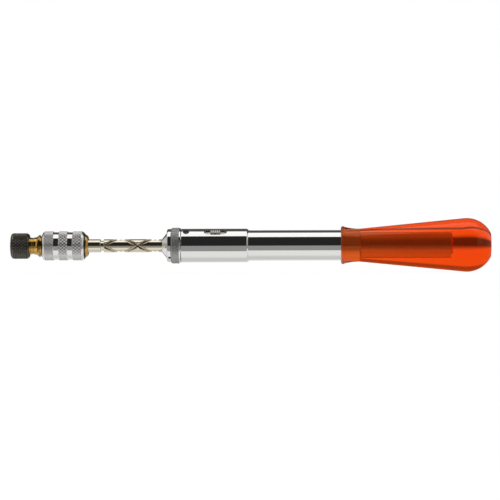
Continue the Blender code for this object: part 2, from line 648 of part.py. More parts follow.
def build_spindle():
    tail_end = STOP + STOP_LENGTH + GAP
    waist = SPINDLE_RADIUS - LOCK_GROOVE_DEPTH
    half = LOCK_GROOVE_WIDTH / 2
    groove_front = LOCK_GROOVE - half
    groove_rear = LOCK_GROOVE + half
    profile = [
        (SPINDLE_FRONT, 0.0),
        (SPINDLE_FRONT, SPINDLE_RADIUS),
        (groove_front, SPINDLE_RADIUS),
        (groove_front, waist),
        (groove_rear, waist),
        (groove_rear, SPINDLE_RADIUS),
        (GUIDE_REAR, SPINDLE_RADIUS),
        (GUIDE_REAR, TAIL_RADIUS),
        (tail_end, TAIL_RADIUS),
        (tail_end, 0.0),
    ]
    spindle = turned("spindle", profile, NICKEL)
    for hand in (1, -1):
        for begin in range(SPIRAL_STARTS):
            name = f"groove_cutter_{'right' if hand > 0 else 'left'}_{begin}"
            spiral_end = GUIDE_REAR + 2 * OVERCUT
            combine(spindle, spiral_wire(name, hand, begin, GROOVE_ROUND, LOCK_GROOVE, spiral_end))
    reach = SPINDLE_RADIUS + OVERCUT
    pin_at = (CHUCK_PIN, 0.0, 0.0)
    drill(spindle, "spindle_pin_cutter", (-reach, reach), CHUCK_PIN_RADIUS + FIT, TOOL, pin_at)

    stop = tube_profile(STOP, STOP + STOP_LENGTH, TAIL_RADIUS + FIT, STOP_RADIUS)
    collar = turned("stop_collar", stop, STEEL)
    stop_middle = (STOP + STOP_LENGTH / 2, 0.0, 0.0)
    reach = STOP_RADIUS - 2 * FIT
    pin = rod_profile(-reach, reach, STOP_PIN_RADIUS)
    turned("stop_pin", pin, STEEL, ROUND_THIN_PIN, TOOL, stop_middle, RADIAL)
    reach = STOP_RADIUS + OVERCUT
    hole = STOP_PIN_RADIUS + FIT
    for piece in (spindle, collar):
        drill(piece, piece.name + "_stop_pin_cutter", (-reach, reach), hole, TOOL, stop_middle)

    rear = FOLLOWER + FOLLOWER_LENGTH
    skirt = TUBE_BORE - FIT * 2
    inner = skirt - FOLLOWER_WALL
    cup = [
        (FOLLOWER, 0.0),
        (FOLLOWER, skirt),
        (rear, skirt),
        (rear, inner),
        (FOLLOWER + FOLLOWER_FLOOR, inner),
        (FOLLOWER + FOLLOWER_FLOOR, 0.0),
    ]
    turned("spring_follower", cup, STEEL)
    spring_radius = inner - SPRING_WIRE - GAP
    start = FOLLOWER + FOLLOWER_FLOOR + GAP + SPRING_WIRE
    end = TANG_FRONT - GAP - SPRING_WIRE
    turns = 2 * math.pi * SPRING_TURNS
    coil("return_spring", spring_radius, SPRING_WIRE, start, end, turns, 0.0, STEEL, per_turn=8, sides=1)


def build_nuts():
    """Ratchet nuts: notched outside for the pawls, with inner ribs that ride in the spindle's grooves."""
    pitch = 2 * math.pi / NUT_NOTCHES
    root = NUT_RADIUS - NOTCH_DEPTH
    toothed = []
    for i in range(NUT_NOTCHES):
        first = i * pitch - NOTCH_FLOOR / 2
        last = first + NOTCH_FLOOR
        for angle, radius in (
            (first, NUT_RADIUS),
            (first, root),
            (last, root),
            (last + NOTCH_SLOPE, NUT_RADIUS),
        ):
            toothed.append((radius * math.cos(angle), radius * math.sin(angle)))
    hole = arc((0, 0), NUT_BORE, 0.0, 2 * math.pi, ROUND_INNER)[:-1]
    for name, hand, start, length in (
        ("drive_nut", -1, DRIVE_NUT, DRIVE_NUT_LENGTH),
        ("idle_nut", 1, IDLE_NUT, IDLE_NUT_LENGTH),
    ):
        nut = extruded(name, [toothed, hole], length, STEEL, SIDE, (start + length / 2, 0.0, 0.0), ALONG)
        first = start + GROOVE_ROUND
        last = start + length - GROOVE_ROUND
        for begin in range(SPIRAL_STARTS):
            rib = spiral_wire(f"{name}_rib_{begin}", hand, begin, GROOVE_ROUND - RIB_PLAY, first, last)
            combine(nut, rib, "UNION")

    ring_bore = NUT_BORE + RUN
    ring_radius = GUIDE_BORE - RUN
    for name, start, length in (
        ("front_washer", FRONT_WASHER, WASHER_LENGTH),
        ("nut_spacer", SPACER, WASHER_LENGTH),
        ("nut_retainer", RETAINER, RETAINER_LENGTH),
    ):
        turned(name, tube_profile(start, start + length, ring_bore, ring_radius), STEEL)


def spring_ring(name, front, thick, inner, outer):
    """A ring that snaps into a groove, open on its +Y side."""
    ring = turned(name, tube_profile(front, front + thick, inner, outer), BLACK)
    opening = outer * math.sin(CLIP_OPENING / 2)
    notch = extruded(
        name + "_cutter",
        [rectangle(0.0, outer * 2, -opening, opening)],
        thick * 4,
        None,
        TOOL,
        (front + thick / 2, 0.0, 0.0),
        ALONG,
    )
    combine(ring, notch)


def build_chuck():
    tip = CHUCK_SPINDLE_BORE + CHUCK_LIP
    lip = CLIP_SEAT + CHUCK_LIP
    taper = CHUCK_REAR - CHUCK_TAPER
    cone = taper + 2 * FIT + COLLAR_RING_THICK
    socket_end = SPINDLE_FRONT - GAP
    profile = [
        (CHUCK_FRONT, SHANK_BORE),
        (CHUCK_FRONT, lip),
        (CLIP - FIT, lip),
        (CLIP - FIT, CLIP_SEAT),
        (CLIP + CLIP_THICK + FIT, CLIP_SEAT),
        (CLIP + CLIP_THICK + FIT, CHUCK_RADIUS),
        (COLLAR_FRONT, CHUCK_RADIUS),
        (COLLAR_FRONT, CHUCK_COLLAR_RADIUS),
        (taper, CHUCK_COLLAR_RADIUS),
        (taper, COLLAR_RING_SEAT),
        (cone, COLLAR_RING_SEAT),
        (cone, COLLAR_RING_SEAT + CHUCK_LIP),
        (CHUCK_REAR, tip),
        (CHUCK_REAR, CHUCK_SPINDLE_BORE),
        (socket_end, CHUCK_SPINDLE_BORE),
        (socket_end, SHANK_BORE),
    ]
    body = turned("chuck_body", profile, BRASS)
    reach = (SHANK_BORE - OVERCUT, CHUCK_RADIUS + OVERCUT)
    drill(body, "ball_hole_cutter", reach, BALL_RADIUS + FIT, BALL_SIDE, (BALL, 0.0, 0.0))
    pin_at = (CHUCK_PIN, 0.0, 0.0)
    reach = CHUCK_COLLAR_RADIUS + OVERCUT
    drill(body, "chuck_pin_cutter", (-reach, reach), CHUCK_PIN_RADIUS + FIT, TOOL, pin_at)
    reach = CHUCK_COLLAR_RADIUS - FIT
    turned("chuck_pin", rod_profile(-reach, reach, CHUCK_PIN_RADIUS), STEEL, ROUND_PIN, TOOL, pin_at, RADIAL)
    globe = arc((0, 0), BALL_RADIUS, math.pi, 0.0, 8)
    globe[0] = (-BALL_RADIUS, 0.0)
    globe[-1] = (BALL_RADIUS, 0.0)
    turned("chuck_ball", globe, STEEL, ROUND_THIN_PIN, BALL_SIDE, (BALL, BALL_PLACE, 0.0), RADIAL)

    rise = BALL_LIFT / SLEEVE_TRAVEL
    recess = SLEEVE_BORE + BALL_LIFT + FIT
    ramp_foot = BALL + SLEEVE_RAMP_SPARE
    ramp_top = ramp_foot - (recess - SLEEVE_BORE) / rise
    outside = [
        (SLEEVE_FRONT, SLEEVE_RADIUS - SLEEVE_FRONT_EDGE),
        (SLEEVE_FRONT + SLEEVE_EDGE_LENGTH, SLEEVE_RADIUS),
    ]
    for start, end in SLEEVE_GROOVES:
        outside += [
            (SLEEVE_FRONT + start, SLEEVE_RADIUS),
            (SLEEVE_FRONT + start + SLEEVE_GROOVE_SLOPE, SLEEVE_GROOVE_RADIUS),
            (SLEEVE_FRONT + end - SLEEVE_GROOVE_SLOPE, SLEEVE_GROOVE_RADIUS),
            (SLEEVE_FRONT + end, SLEEVE_RADIUS),
        ]
    outside += [
        (SLEEVE_REAR - SLEEVE_EDGE_LENGTH, SLEEVE_RADIUS),
        (SLEEVE_REAR, SLEEVE_RADIUS - SLEEVE_REAR_EDGE),
    ]
    inside = [
        (SLEEVE_REAR, SLEEVE_CHAMBER),
        (SPRING_SHOULDER, SLEEVE_CHAMBER),
        (SPRING_SHOULDER, SLEEVE_BORE),
        (ramp_foot, SLEEVE_BORE),
        (ramp_top, recess),
        (SLEEVE_FRONT + SLEEVE_LAND + SLEEVE_RAMP_SPARE, recess),
        (SLEEVE_FRONT + SLEEVE_LAND, SLEEVE_BORE),
        (SLEEVE_FRONT, SLEEVE_BORE),
    ]
    turned("chuck_sleeve", outside + inside, CHROME, ROUND_OUTER)

    spring_ring("sleeve_clip", CLIP, CLIP_THICK, CLIP_SEAT + FIT, CLIP_RADIUS)
    spring_ring("collar_ring", taper + FIT, COLLAR_RING_THICK, COLLAR_RING_SEAT + FIT, CHUCK_COLLAR_RADIUS)

    wire = SLEEVE_SPRING_WIRE
    coil(
        "sleeve_spring",
        (SLEEVE_BORE + SLEEVE_CHAMBER) / 2,
        wire,
        SPRING_SHOULDER + GAP + wire,
        COLLAR_FRONT - GAP - wire,
        2 * math.pi * SLEEVE_SPRING_TURNS,
        0.0,
        STEEL,
        per_turn=12,
        sides=1,
    )


def build_pin_vise():
    ball_groove = BALL_RADIUS + FIT
    groove_floor = BALL_PLACE - BALL_RADIUS - GAP
    shank_rear = FLANGE_REAR + SHANK_LENGTH
    flare = [
        (NECK_REAR + FLARE_LENGTH * t, NECK_RADIUS + (FLANGE_RADIUS - NECK_RADIUS) * t**2)
        for t in (0.0, 0.4, 0.7, 1.0)
    ]
    well = COLLET_SHOULDER + COLLET_TAIL_LENGTH + COLLET_WELL_SPARE
    mouth = VISE_EDGE
    profile = (
        [
            (well, 0.0),
            (well, COLLET_BORE_IN_VISE),
            (NECK_FRONT + mouth, COLLET_BORE_IN_VISE),
            (NECK_FRONT, COLLET_BORE_IN_VISE + mouth),
            (NECK_FRONT, NECK_RADIUS - mouth),
            (NECK_FRONT + mouth, NECK_RADIUS),
        ]
        + flare
        + [
            (FLANGE_REAR, FLANGE_RADIUS),
            (FLANGE_REAR, SHANK_RADIUS),
            (BALL - ball_groove, SHANK_RADIUS),
            (BALL - ball_groove * 0.6, groove_floor),
            (BALL + ball_groove * 0.6, groove_floor),
            (BALL + ball_groove, SHANK_RADIUS),
            (shank_rear - mouth, SHANK_RADIUS),
            (shank_rear, SHANK_RADIUS - mouth),
            (shank_rear, 0.0),
        ]
    )
    turned("vise_body", profile, BRASS)

    slope = (COLLET_HEAD_RADIUS - COLLET_TIP_RADIUS) / (COLLET_HEAD_LENGTH - COLLET_PROUD)
    tip_hole = COLLET_TIP_RADIUS + GAP
    cone_end = COLLET_SHOULDER + GAP
    thread_bore = NECK_RADIUS + FIT
    nut_profile = [
        (NUT_FRONT, tip_hole),
        (NUT_FRONT, NUT_FACE_RADIUS),
        (NUT_FRONT + NUT_FRONT_EDGE, NUT_OUTER_RADIUS),
        (NUT_REAR - NUT_REAR_EDGE, NUT_OUTER_RADIUS),
        (NUT_REAR, NECK_RADIUS + NUT_REAR_LAND),
        (NUT_REAR, thread_bore),
        (cone_end, thread_bore),
        (cone_end, tip_hole + slope * (cone_end - NUT_FRONT)),
    ]
    turned("collet_nut", nut_profile, BLACK, ROUND_OUTER)

    rear = COLLET_SHOULDER + COLLET_TAIL_LENGTH
    collet_profile = [
        (COLLET_FRONT, COLLET_BORE_RADIUS),
        (COLLET_FRONT, COLLET_TIP_RADIUS - COLLET_EDGE),
        (COLLET_FRONT + COLLET_EDGE, COLLET_TIP_RADIUS),
        (NUT_FRONT, COLLET_TIP_RADIUS),
        (COLLET_SHOULDER, COLLET_HEAD_RADIUS),
        (COLLET_SHOULDER, COLLET_TAIL_RADIUS),
        (rear, COLLET_TAIL_RADIUS),
        (rear, COLLET_BORE_RADIUS),
    ]
    collet = turned("collet", collet_profile, STEEL)
    slot_end = COLLET_SHOULDER + COLLET_SLOT_IN_TAIL
    view = rectangle(COLLET_FRONT - OVERCUT, slot_end, 0.0, COLLET_HEAD_RADIUS + OVERCUT)
    for i in range(COLLET_SLOTS):
        side = empty(f"collet_slot_side_{i}", TOOL, turn=math.pi / 2 + 2 * math.pi * i / COLLET_SLOTS)
        combine(collet, extruded(f"collet_slot_{i}", [view], COLLET_SLOT_WIDTH, None, side))


clear_scene()
PARTS = collection("push_drill")
CUTTERS = collection("push_drill_cutters")
CHROME = principled("chrome", (0.78, 0.78, 0.80), 1.0, 0.08)
STEEL = principled("steel", (0.52, 0.52, 0.53), 1.0, 0.35)
BRIGHT = principled("bright_steel", (0.66, 0.66, 0.66), 1.0, 0.25)
NICKEL = principled("nickel", (0.76, 0.71, 0.62), 1.0, 0.15)
BRASS = principled("brass", (0.76, 0.56, 0.28), 1.0, 0.25)
BLACK = principled("black_oxide", (0.03, 0.03, 0.03), 0.6, 0.45)
ORANGE = principled("orange_acetate", (0.95, 0.16, 0.02), 0.0, 0.05)
TOOL = empty("tool", at=(-MIDDLE, 0.0, 0.0))
SIDE = empty("selector_side", TOOL, turn=SELECTOR_ANGLE)
LATCH = empty("latch_side", TOOL, turn=SELECTOR_ANGLE + math.pi)
BALL_SIDE = empty("ball_side", TOOL, turn=BALL_ANGLE)
build_barrel()
build_pawls(build_housing())
build_nose()
build_spindle()
build_nuts()
build_chuck()
build_pin_vise()
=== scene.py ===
"""Looks of a spiral push drill that holds a small pin vise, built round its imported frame.

The tool lies along X with the chuck towards -X, and the camera looks along +Y. Lengths are in metres.
"""

import math
from collections import namedtuple

import bmesh
import bpy
import numpy as np
from mathutils import Matrix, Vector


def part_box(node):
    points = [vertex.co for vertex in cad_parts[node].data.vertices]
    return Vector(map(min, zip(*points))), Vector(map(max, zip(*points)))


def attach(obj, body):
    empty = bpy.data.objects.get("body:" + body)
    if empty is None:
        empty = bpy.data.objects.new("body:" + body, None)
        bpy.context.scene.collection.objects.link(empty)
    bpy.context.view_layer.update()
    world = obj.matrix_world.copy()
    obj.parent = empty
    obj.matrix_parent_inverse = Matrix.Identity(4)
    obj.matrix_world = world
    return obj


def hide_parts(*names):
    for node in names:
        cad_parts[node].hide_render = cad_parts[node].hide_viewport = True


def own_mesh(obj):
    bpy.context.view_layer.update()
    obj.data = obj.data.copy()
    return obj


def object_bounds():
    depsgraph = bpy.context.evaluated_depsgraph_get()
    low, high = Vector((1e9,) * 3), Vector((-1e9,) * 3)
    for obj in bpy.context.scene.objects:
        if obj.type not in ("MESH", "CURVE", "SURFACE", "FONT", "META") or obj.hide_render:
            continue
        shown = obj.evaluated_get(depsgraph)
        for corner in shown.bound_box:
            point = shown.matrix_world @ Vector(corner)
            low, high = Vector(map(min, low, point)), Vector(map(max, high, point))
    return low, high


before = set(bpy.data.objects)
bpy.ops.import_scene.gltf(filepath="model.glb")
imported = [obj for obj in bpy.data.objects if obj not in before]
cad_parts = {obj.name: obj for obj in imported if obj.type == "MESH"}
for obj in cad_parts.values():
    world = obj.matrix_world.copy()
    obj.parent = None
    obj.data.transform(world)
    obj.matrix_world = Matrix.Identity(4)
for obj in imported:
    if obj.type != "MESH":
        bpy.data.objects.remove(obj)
cad_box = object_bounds()

MM = 0.001
TURN = 2 * math.pi
FIT = 0.15 * MM  # radial play between nested pieces, as in the frame
GAP = 0.30 * MM  # end play between neighbours, as in the frame
BURIED = 0.01 * MM  # how far the handle's hollow lies inside the metal it holds

# How the photo shows the tool: its length and its axis in the picture, and where the camera stood.
PIXELS = 500
TOOL_PIXELS = 480.6
AXIS_PIXEL = 245.45
CAMERA_AWAY = 1400 * MM
CAMERA_ASIDE = 38 * MM  # to the right of the tool's middle
CAMERA_ROLL = math.radians(0.15)
SENSOR = 36.0

# Fineness of turned pieces and of the crease between smooth faces.
ROUND = 128
ROUND_SMALL = 64
CREASE = math.radians(32)

# Knurling: lines round the piece, depth, lean of the lines, and corners of the mesh to a line.
Knurl = namedtuple("Knurl", "count depth lean corners")
SLEEVE_KNURL = Knurl(32, 0.30 * MM, math.radians(38), 10)
NUT_KNURL = Knurl(28, 0.30 * MM, math.radians(38), 10)
RING_KNURL = Knurl(104, 0.12 * MM, math.radians(40), 4)
KNURL_ROW = 0.14 * MM

# Spindle grooves, as in the frame.
SPIRAL_LEAD = 36.5 * MM
SPIRAL_STARTS = 2
SPIRAL_FROM_NOSE = 13.0 * MM  # from the nose's tip forward to the crossing that faces the camera
GROOVE_HALF = 1.05 * MM
GROOVE_DEPTH = 0.95 * MM
LOCK_GROOVE_FROM_CHUCK = 7.2 * MM
LOCK_GROOVE_DEPTH = 0.8 * MM
LOCK_GROOVE_HALF = 0.85 * MM

# Sizes of the frame that its boxes don't give.
TANG_RADIUS = 4.65 * MM
HANDLE_FACE_RISE = 0.75 * MM
COLLAR_RING_SEAT = 4.75 * MM
COLLAR_RING_SHOWN = 0.5 * MM  # the brass cone covers the rest of the black ring
CLIP_SEAT = 4.75 * MM

# Where the selector and the screw stand round the housing, and the spanner hole round the nose.
SELECTOR_ANGLE = math.radians(126)
SPANNER_ANGLE = math.radians(226)
SLOT_SIZE = (12.2 * MM, 3.9 * MM)
SELECTOR_PLACE = 18.2 * MM
SCREW_PLACE = 2.65 * MM
SCREW_RADIUS = 1.55 * MM

# Lamp: a soft box over the tool.
LAMP_HEIGHT = 0.9
LAMP_SIZE = (1.7, 0.77)
LAMP_BACK = 0.015
LAMP_WATTS = 9.0

# Edge of the handle's shadow on the floor behind it: how far it leans from the tool, and where it starts.
SHADOW_SLOPE = 0.449
SHADOW_EDGE = -5.7 * MM


def ends(node):
    """First and last station of a CAD node along the tool, and its radius towards +Y."""
    low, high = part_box(node)
    return low.x, high.x, high.y


def middle(node):
    """Station of a CAD node's middle along the tool."""
    low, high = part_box(node)
    return (low.x + high.x) / 2


# Shapes


def curve(start, corner, end, steps=5):
    """Outline points of a smooth bend from start to end, drawn towards corner."""
    made = []
    for i in range(steps + 1):
        t = i / steps
        p, q, r = (1 - t) ** 2, 2 * t * (1 - t), t * t
        made.append(tuple(p * a + q * c + r * e for a, c, e in zip(start, corner, end)))
    return made


def band(start, end, radius, step=KNURL_ROW):
    """Outline points along a cylinder, close together and marked to take a relief."""
    count = max(2, round((end - start) / step))
    return [(start + (end - start) * i / count, radius, 1.0) for i in range(count + 1)]


def wave(value):
    """0 at whole numbers and 1 half way between them, with straight flanks."""
    return 1 - 2 * np.abs(value - np.floor(value) - 0.5)


def knurl(radius, kind):
    """Relief of two crossing sets of straight V grooves."""

    def relief(x, angle):
        around = angle * kind.count / TURN
        along = x * kind.count * math.tan(kind.lean) / (TURN * radius)
        return kind.depth * (np.minimum(wave(around + along), wave(around - along)) - 1)

    return relief


def knurled(name, outline, radius, kind):
    return lathe(name, outline, kind.count * kind.corners, knurl(radius, kind))


def thread(pitch, depth):
    """Relief of a right-hand V thread."""

    def relief(x, angle):
        return depth * (wave(x / pitch - angle / TURN) - 1)

    return relief


def closed_mesh(name, points, faces):
    mesh = bpy.data.meshes.new(name)
    mesh.from_pydata(points, [], faces)
    shape = bmesh.new()
    shape.from_mesh(mesh)
    bmesh.ops.remove_doubles(shape, verts=shape.verts, dist=1e-8)
    bmesh.ops.recalc_face_normals(shape, faces=shape.faces)
    shape.to_mesh(mesh)
    shape.free()
    return mesh


def smooth(mesh):
    mesh.polygons.foreach_set("use_smooth", [True] * len(mesh.polygons))
    mesh.set_sharp_from_angle(angle=CREASE)


def piece(name, mesh):
    made = bpy.data.objects.new(name, mesh)
    bpy.context.scene.collection.objects.link(made)
    return made


def lathe(name, outline, count=ROUND, relief=None):
    """A piece turned about X from a closed outline of (x, radius) points, as a mesh with outward faces."""
    rows = len(outline)
    x = np.array([p[0] for p in outline])[:, None]
    radius = np.array([p[1] for p in outline])[:, None]
    marked = np.array([p[2] if len(p) > 2 else 0.0 for p in outline])[:, None]
    angle = (np.arange(count) * TURN / count)[None, :]
    if relief:
        radius = radius + marked * relief(x, angle)
    points = np.stack(np.broadcast_arrays(x, radius * np.cos(angle), radius * np.sin(angle)), -1)
    here = np.arange(rows)[:, None] * count + np.arange(count)[None, :]
    ahead = np.roll(here, -1, 0)
    quads = np.stack([here, np.roll(here, -1, 1), np.roll(ahead, -1, 1), ahead], -1)
    flat = np.array([outline[i][1] > 0 or outline[(i + 1) % rows][1] > 0 for i in range(rows)])
    mesh = closed_mesh(name, points.reshape(-1, 3).tolist(), quads[flat].reshape(-1, 4).tolist())
    smooth(mesh)
    return piece(name, mesh)


def swept(name, rings):
    """A bar through rings that all have as many corner points, closed at both ends."""
    count = len(rings[0])
    last = count * (len(rings) - 1)
    faces = [tuple(range(count)), tuple(range(last + count - 1, last - 1, -1))]
    for start in range(0, last, count):
        for k in range(count):
            here = start + k
            beside = start + (k + 1) % count
            faces.append((here, beside, beside + count, here + count))
    mesh = closed_mesh(name, [point for ring in rings for point in ring], faces)
    smooth(mesh)
    return piece(name, mesh)


def standing(outline, low, high):
    """Corner points and faces of a prism whose outline stands across the third axis."""
    count = len(outline)
    points = [(a, b, low) for a, b in outline] + [(a, b, high) for a, b in outline]
    sides = [(i, (i + 1) % count, (i + 1) % count + count, i + count) for i in range(count)]
    return points, sides + [tuple(range(count))[::-1], tuple(range(count, 2 * count))]


def outward(points, angle, at):
    """Turns (along, across, height) points so that height points away from the tool's axis at that angle."""
    c, s = math.cos(angle), math.sin(angle)
    return [(at + a, h * c + b * s, h * s - b * c) for a, b, h in points]


def radial_prism(name, outline, low, high, angle, at):
    """A prism standing on the tool's side: outline (along, across), from radius low to radius high."""
    points, faces = standing(outline, low, high)
    return piece(name, closed_mesh(name, outward(points, angle, at), faces))


def radial_turned(name, outline, angle, at, count=32):
    """A piece turned about a line that points away from the tool's axis, from (height, radius) points."""
    made = lathe(name, outline, count)
    upright = Matrix.Rotation(math.pi / 2, 4, "Z")
    made.data.transform(Matrix.Translation((at, 0, 0)) @ Matrix.Rotation(angle, 4, "X") @ upright)
    return made


def stadium(length, width, steps=12):
    """Outline of a slot with round ends."""
    half = length / 2 - width / 2
    made = []
    for side, start in ((1, -math.pi / 2), (-1, math.pi / 2)):
        for i in range(steps + 1):
            a = start + math.pi * i / steps
            made.append((side * half + width / 2 * math.cos(a), width / 2 * math.sin(a)))
    return made


def circle(radius, steps=32):
    return [(radius * math.cos(TURN * i / steps), radius * math.sin(TURN * i / steps)) for i in range(steps)]


def hole_for(node, steps=32):
    """Outline of a hole that gives a small round CAD node its play; the node stands across the tool."""
    low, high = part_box(node)
    return circle((high.x - low.x) / 2 + FIT, steps)


def rectangle(length, width):
    a, b = length / 2, width / 2
    return [(-a, -b), (a, -b), (a, b), (-a, b)]


def keep_modified(made):
    """Makes what a piece's modifiers give its mesh."""
    graph = bpy.context.evaluated_depsgraph_get()
    mesh = bpy.data.meshes.new_from_object(made.evaluated_get(graph))
    made.modifiers.clear()
    made.data = mesh
    smooth(mesh)


def cut(target, cutter):
    """Takes the cutter's shape out of the target and removes the cutter."""
    modifier = target.modifiers.new("cut", "BOOLEAN")
    modifier.operation = "DIFFERENCE"
    modifier.solver = "EXACT"
    modifier.object = cutter
    keep_modified(target)
    bpy.data.objects.remove(cutter)


def soften(made, width):
    """Rounds a piece's sharp edges."""
    modifier = made.modifiers.new("soften", "BEVEL")
    modifier.width = width
    modifier.segments = 2
    modifier.limit_method = "ANGLE"
    modifier.angle_limit = math.radians(50)
    keep_modified(made)


def finish_piece(made, material, body, slot, *nodes):
    """Gives a new piece its material, its body and the CAD nodes that it stands for."""
    made.data.materials.clear()
    made.data.materials.append(material)
    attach(made, body)
    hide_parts(*nodes)


def repaint(made, material, chosen):
    """Gives some of a piece's faces another material; chosen tells which from the faces' middles."""
    mesh = made.data
    count = len(mesh.polygons)
    middles = np.empty(count * 3)
    mesh.polygons.foreach_get("center", middles)
    index = np.empty(count, dtype=np.int32)
    mesh.polygons.foreach_get("material_index", index)
    index[chosen(middles.reshape(-1, 3))] = len(mesh.materials)
    mesh.materials.append(material)
    mesh.polygons.foreach_set("material_index", index)


def paint_knurl_light_and_shade(made, radius, kind, crest, valley):
    """Paints light and shade into a knurl: a lighter copy of the metal on its crests, a darker copy in the
    valleys.
    """

    def sunk(middles):
        return (radius - np.hypot(middles[:, 1], middles[:, 2])) / kind.depth

    repaint(made, crest, lambda middles: sunk(middles) < 0.5)
    repaint(made, valley, lambda middles: (sunk(middles) >= 0.5) & (sunk(middles) < 1.01))


# Materials


def blank(name):
    material = bpy.data.materials.new(name)
    material.use_nodes = True
    tree = material.node_tree
    return material, tree, tree.nodes["Principled BSDF"]


def grain(tree, scale, stretch=(1, 1, 1), detail=3.0):
    """Noise that stays with the piece; stretch squeezes it along the tool's axes."""
    place = tree.nodes.new("ShaderNodeTexCoord")
    mapping = tree.nodes.new("ShaderNodeMapping")
    mapping.inputs["Scale"].default_value = stretch
    noise = tree.nodes.new("ShaderNodeTexNoise")
    noise.inputs["Scale"].default_value = scale
    noise.inputs["Detail"].default_value = detail
    tree.links.new(place.outputs["Object"], mapping.inputs["Vector"])
    tree.links.new(mapping.outputs["Vector"], noise.inputs["Vector"])
    return noise.outputs["Fac"]


def spread(tree, value, low, high):
    """Maps noise to a range."""
    node = tree.nodes.new("ShaderNodeMapRange")
    node.inputs["From Min"].default_value = 0.3
    node.inputs["From Max"].default_value = 0.7
    node.inputs["To Min"].default_value = low
    node.inputs["To Max"].default_value = high
    tree.links.new(value, node.inputs["Value"])
    return node.outputs["Result"]


def tint(tree, value, dark, light, low=0.3, high=0.7):
    """Maps a value, by itself noise, to a mix of two colours."""
    node = tree.nodes.new("ShaderNodeValToRGB")
    node.color_ramp.elements[0].position = low
    node.color_ramp.elements[0].color = (*dark, 1)
    node.color_ramp.elements[1].position = high
    node.color_ramp.elements[1].color = (*light, 1)
    tree.links.new(value, node.inputs["Fac"])
    return node.outputs["Color"]


def relief_bump(tree, value, height, strength):
    node = tree.nodes.new("ShaderNodeBump")
    node.inputs["Distance"].default_value = height
    node.inputs["Strength"].default_value = strength
    tree.links.new(value, node.inputs["Height"])
    return node.outputs["Normal"]


TURNED = (1.0, 0.03, 0.03)  # noise drawn out round the tool, as a lathe leaves it


def metal(name, dark, light, rough, mark_scale=9000, mark_height=0.4e-6):
    """A turned metal: a shade that drifts a little, and fine marks that run round the tool."""
    material, tree, shader = blank(name)
    shader.inputs["Metallic"].default_value = 1.0
    tree.links.new(tint(tree, grain(tree, 260), dark, light), shader.inputs["Base Color"])
    tree.links.new(spread(tree, grain(tree, 700), *rough), shader.inputs["Roughness"])
    marks = grain(tree, mark_scale, TURNED)
    tree.links.new(relief_bump(tree, marks, mark_height, 0.3), shader.inputs["Normal"])
    return material


def plain_metal(name, dark, light, rough):
    """A metal without turning marks, worn a little lighter in places."""
    material, tree, shader = blank(name)
    shader.inputs["Metallic"].default_value = 1.0
    tree.links.new(tint(tree, grain(tree, 1500), dark, light), shader.inputs["Base Color"])
    tree.links.new(spread(tree, grain(tree, 900), *rough), shader.inputs["Roughness"])
    return material


def orange_acetate():
    """Clear orange plastic with a faint cloudiness, deeper in colour where it is thicker."""
    material, tree, shader = blank("orange_acetate")
    shader.inputs["Transmission Weight"].default_value = 0.9
    shader.inputs["IOR"].default_value = 1.48
    shader.inputs["Specular Tint"].default_value = (0.55, 0.5, 0.3, 1)
    cloud = tint(tree, grain(tree, 60), (1.0, 0.145, 0.022), (1.0, 0.165, 0.028))
    tree.links.new(cloud, shader.inputs["Base Color"])
    tree.links.new(spread(tree, grain(tree, 300), 0.02, 0.05), shader.inputs["Roughness"])
    depth = tree.nodes.new("ShaderNodeVolumeAbsorption")
    depth.inputs["Color"].default_value = (1.0, 0.543, 0.0, 1)
    depth.inputs["Density"].default_value = 70.0
    tree.links.new(depth.outputs["Volume"], tree.nodes["Material Output"].inputs["Volume"])
    return material


CHROME = plain_metal("chrome", (0.80, 0.795, 0.775), (0.84, 0.835, 0.815), (0.04, 0.06))
STEEL = metal("steel", (0.46, 0.45, 0.43), (0.56, 0.55, 0.53), (0.22, 0.34))
BRIGHT = metal("bright_steel", (0.60, 0.59, 0.56), (0.70, 0.69, 0.66), (0.12, 0.2))
NICKEL = plain_metal("nickel", (0.76, 0.69, 0.55), (0.86, 0.80, 0.66), (0.05, 0.09))
BRASS = metal("brass", (0.54, 0.31, 0.07), (0.66, 0.41, 0.11), (0.12, 0.22))
MATTE = plain_metal("matte_chrome", (0.44, 0.44, 0.425), (0.52, 0.52, 0.505), (0.58, 0.68))
TANG = plain_metal("tang_steel", (0.62, 0.60, 0.56), (0.70, 0.68, 0.64), (0.30, 0.36))
# Painted shade: a darker, browner nickel for the deep faces of the spindle's spiral grooves.
GROOVE_PAINTED_SHADE = plain_metal("groove_painted_shade", (0.48, 0.40, 0.27), (0.58, 0.50, 0.35), (0.16, 0.24))
DARK = plain_metal("dark_screw", (0.06, 0.058, 0.048), (0.09, 0.087, 0.072), (0.34, 0.44))
BUTTON = metal("button_steel", (0.40, 0.39, 0.37), (0.48, 0.47, 0.45), (0.25, 0.35))
PLATE = plain_metal("plate_steel", (0.72, 0.69, 0.62), (0.80, 0.77, 0.70), (0.45, 0.55))
# Painted light and shade for knurls: crests get a lighter copy of the metal, valleys a darker copy.
KNURL_PAINTED_LIGHT = plain_metal("knurl_crest_painted_light", (0.92, 0.905, 0.88), (0.95, 0.935, 0.91), (0.16, 0.24))
KNURL_PAINTED_SHADE = plain_metal("knurl_valley_painted_shade", (0.54, 0.527, 0.51), (0.62, 0.605, 0.585), (0.30, 0.40))
# Painted light and shade for the nut's knurl: a lighter copy of the black metal on crests, a darker one in
# valleys.
NUT_KNURL_PAINTED_LIGHT = plain_metal("nut_crest_painted_light", (0.19, 0.181, 0.148), (0.26, 0.247, 0.206), (0.24, 0.34))
NUT_KNURL_PAINTED_SHADE = plain_metal("nut_valley_painted_shade", (0.05, 0.047, 0.039), (0.07, 0.066, 0.055), (0.34, 0.44))
BLACK = plain_metal("black_oxide", (0.07, 0.066, 0.054), (0.12, 0.114, 0.094), (0.22, 0.34))
ORANGE = orange_acetate()


# The pin vise and its chuck


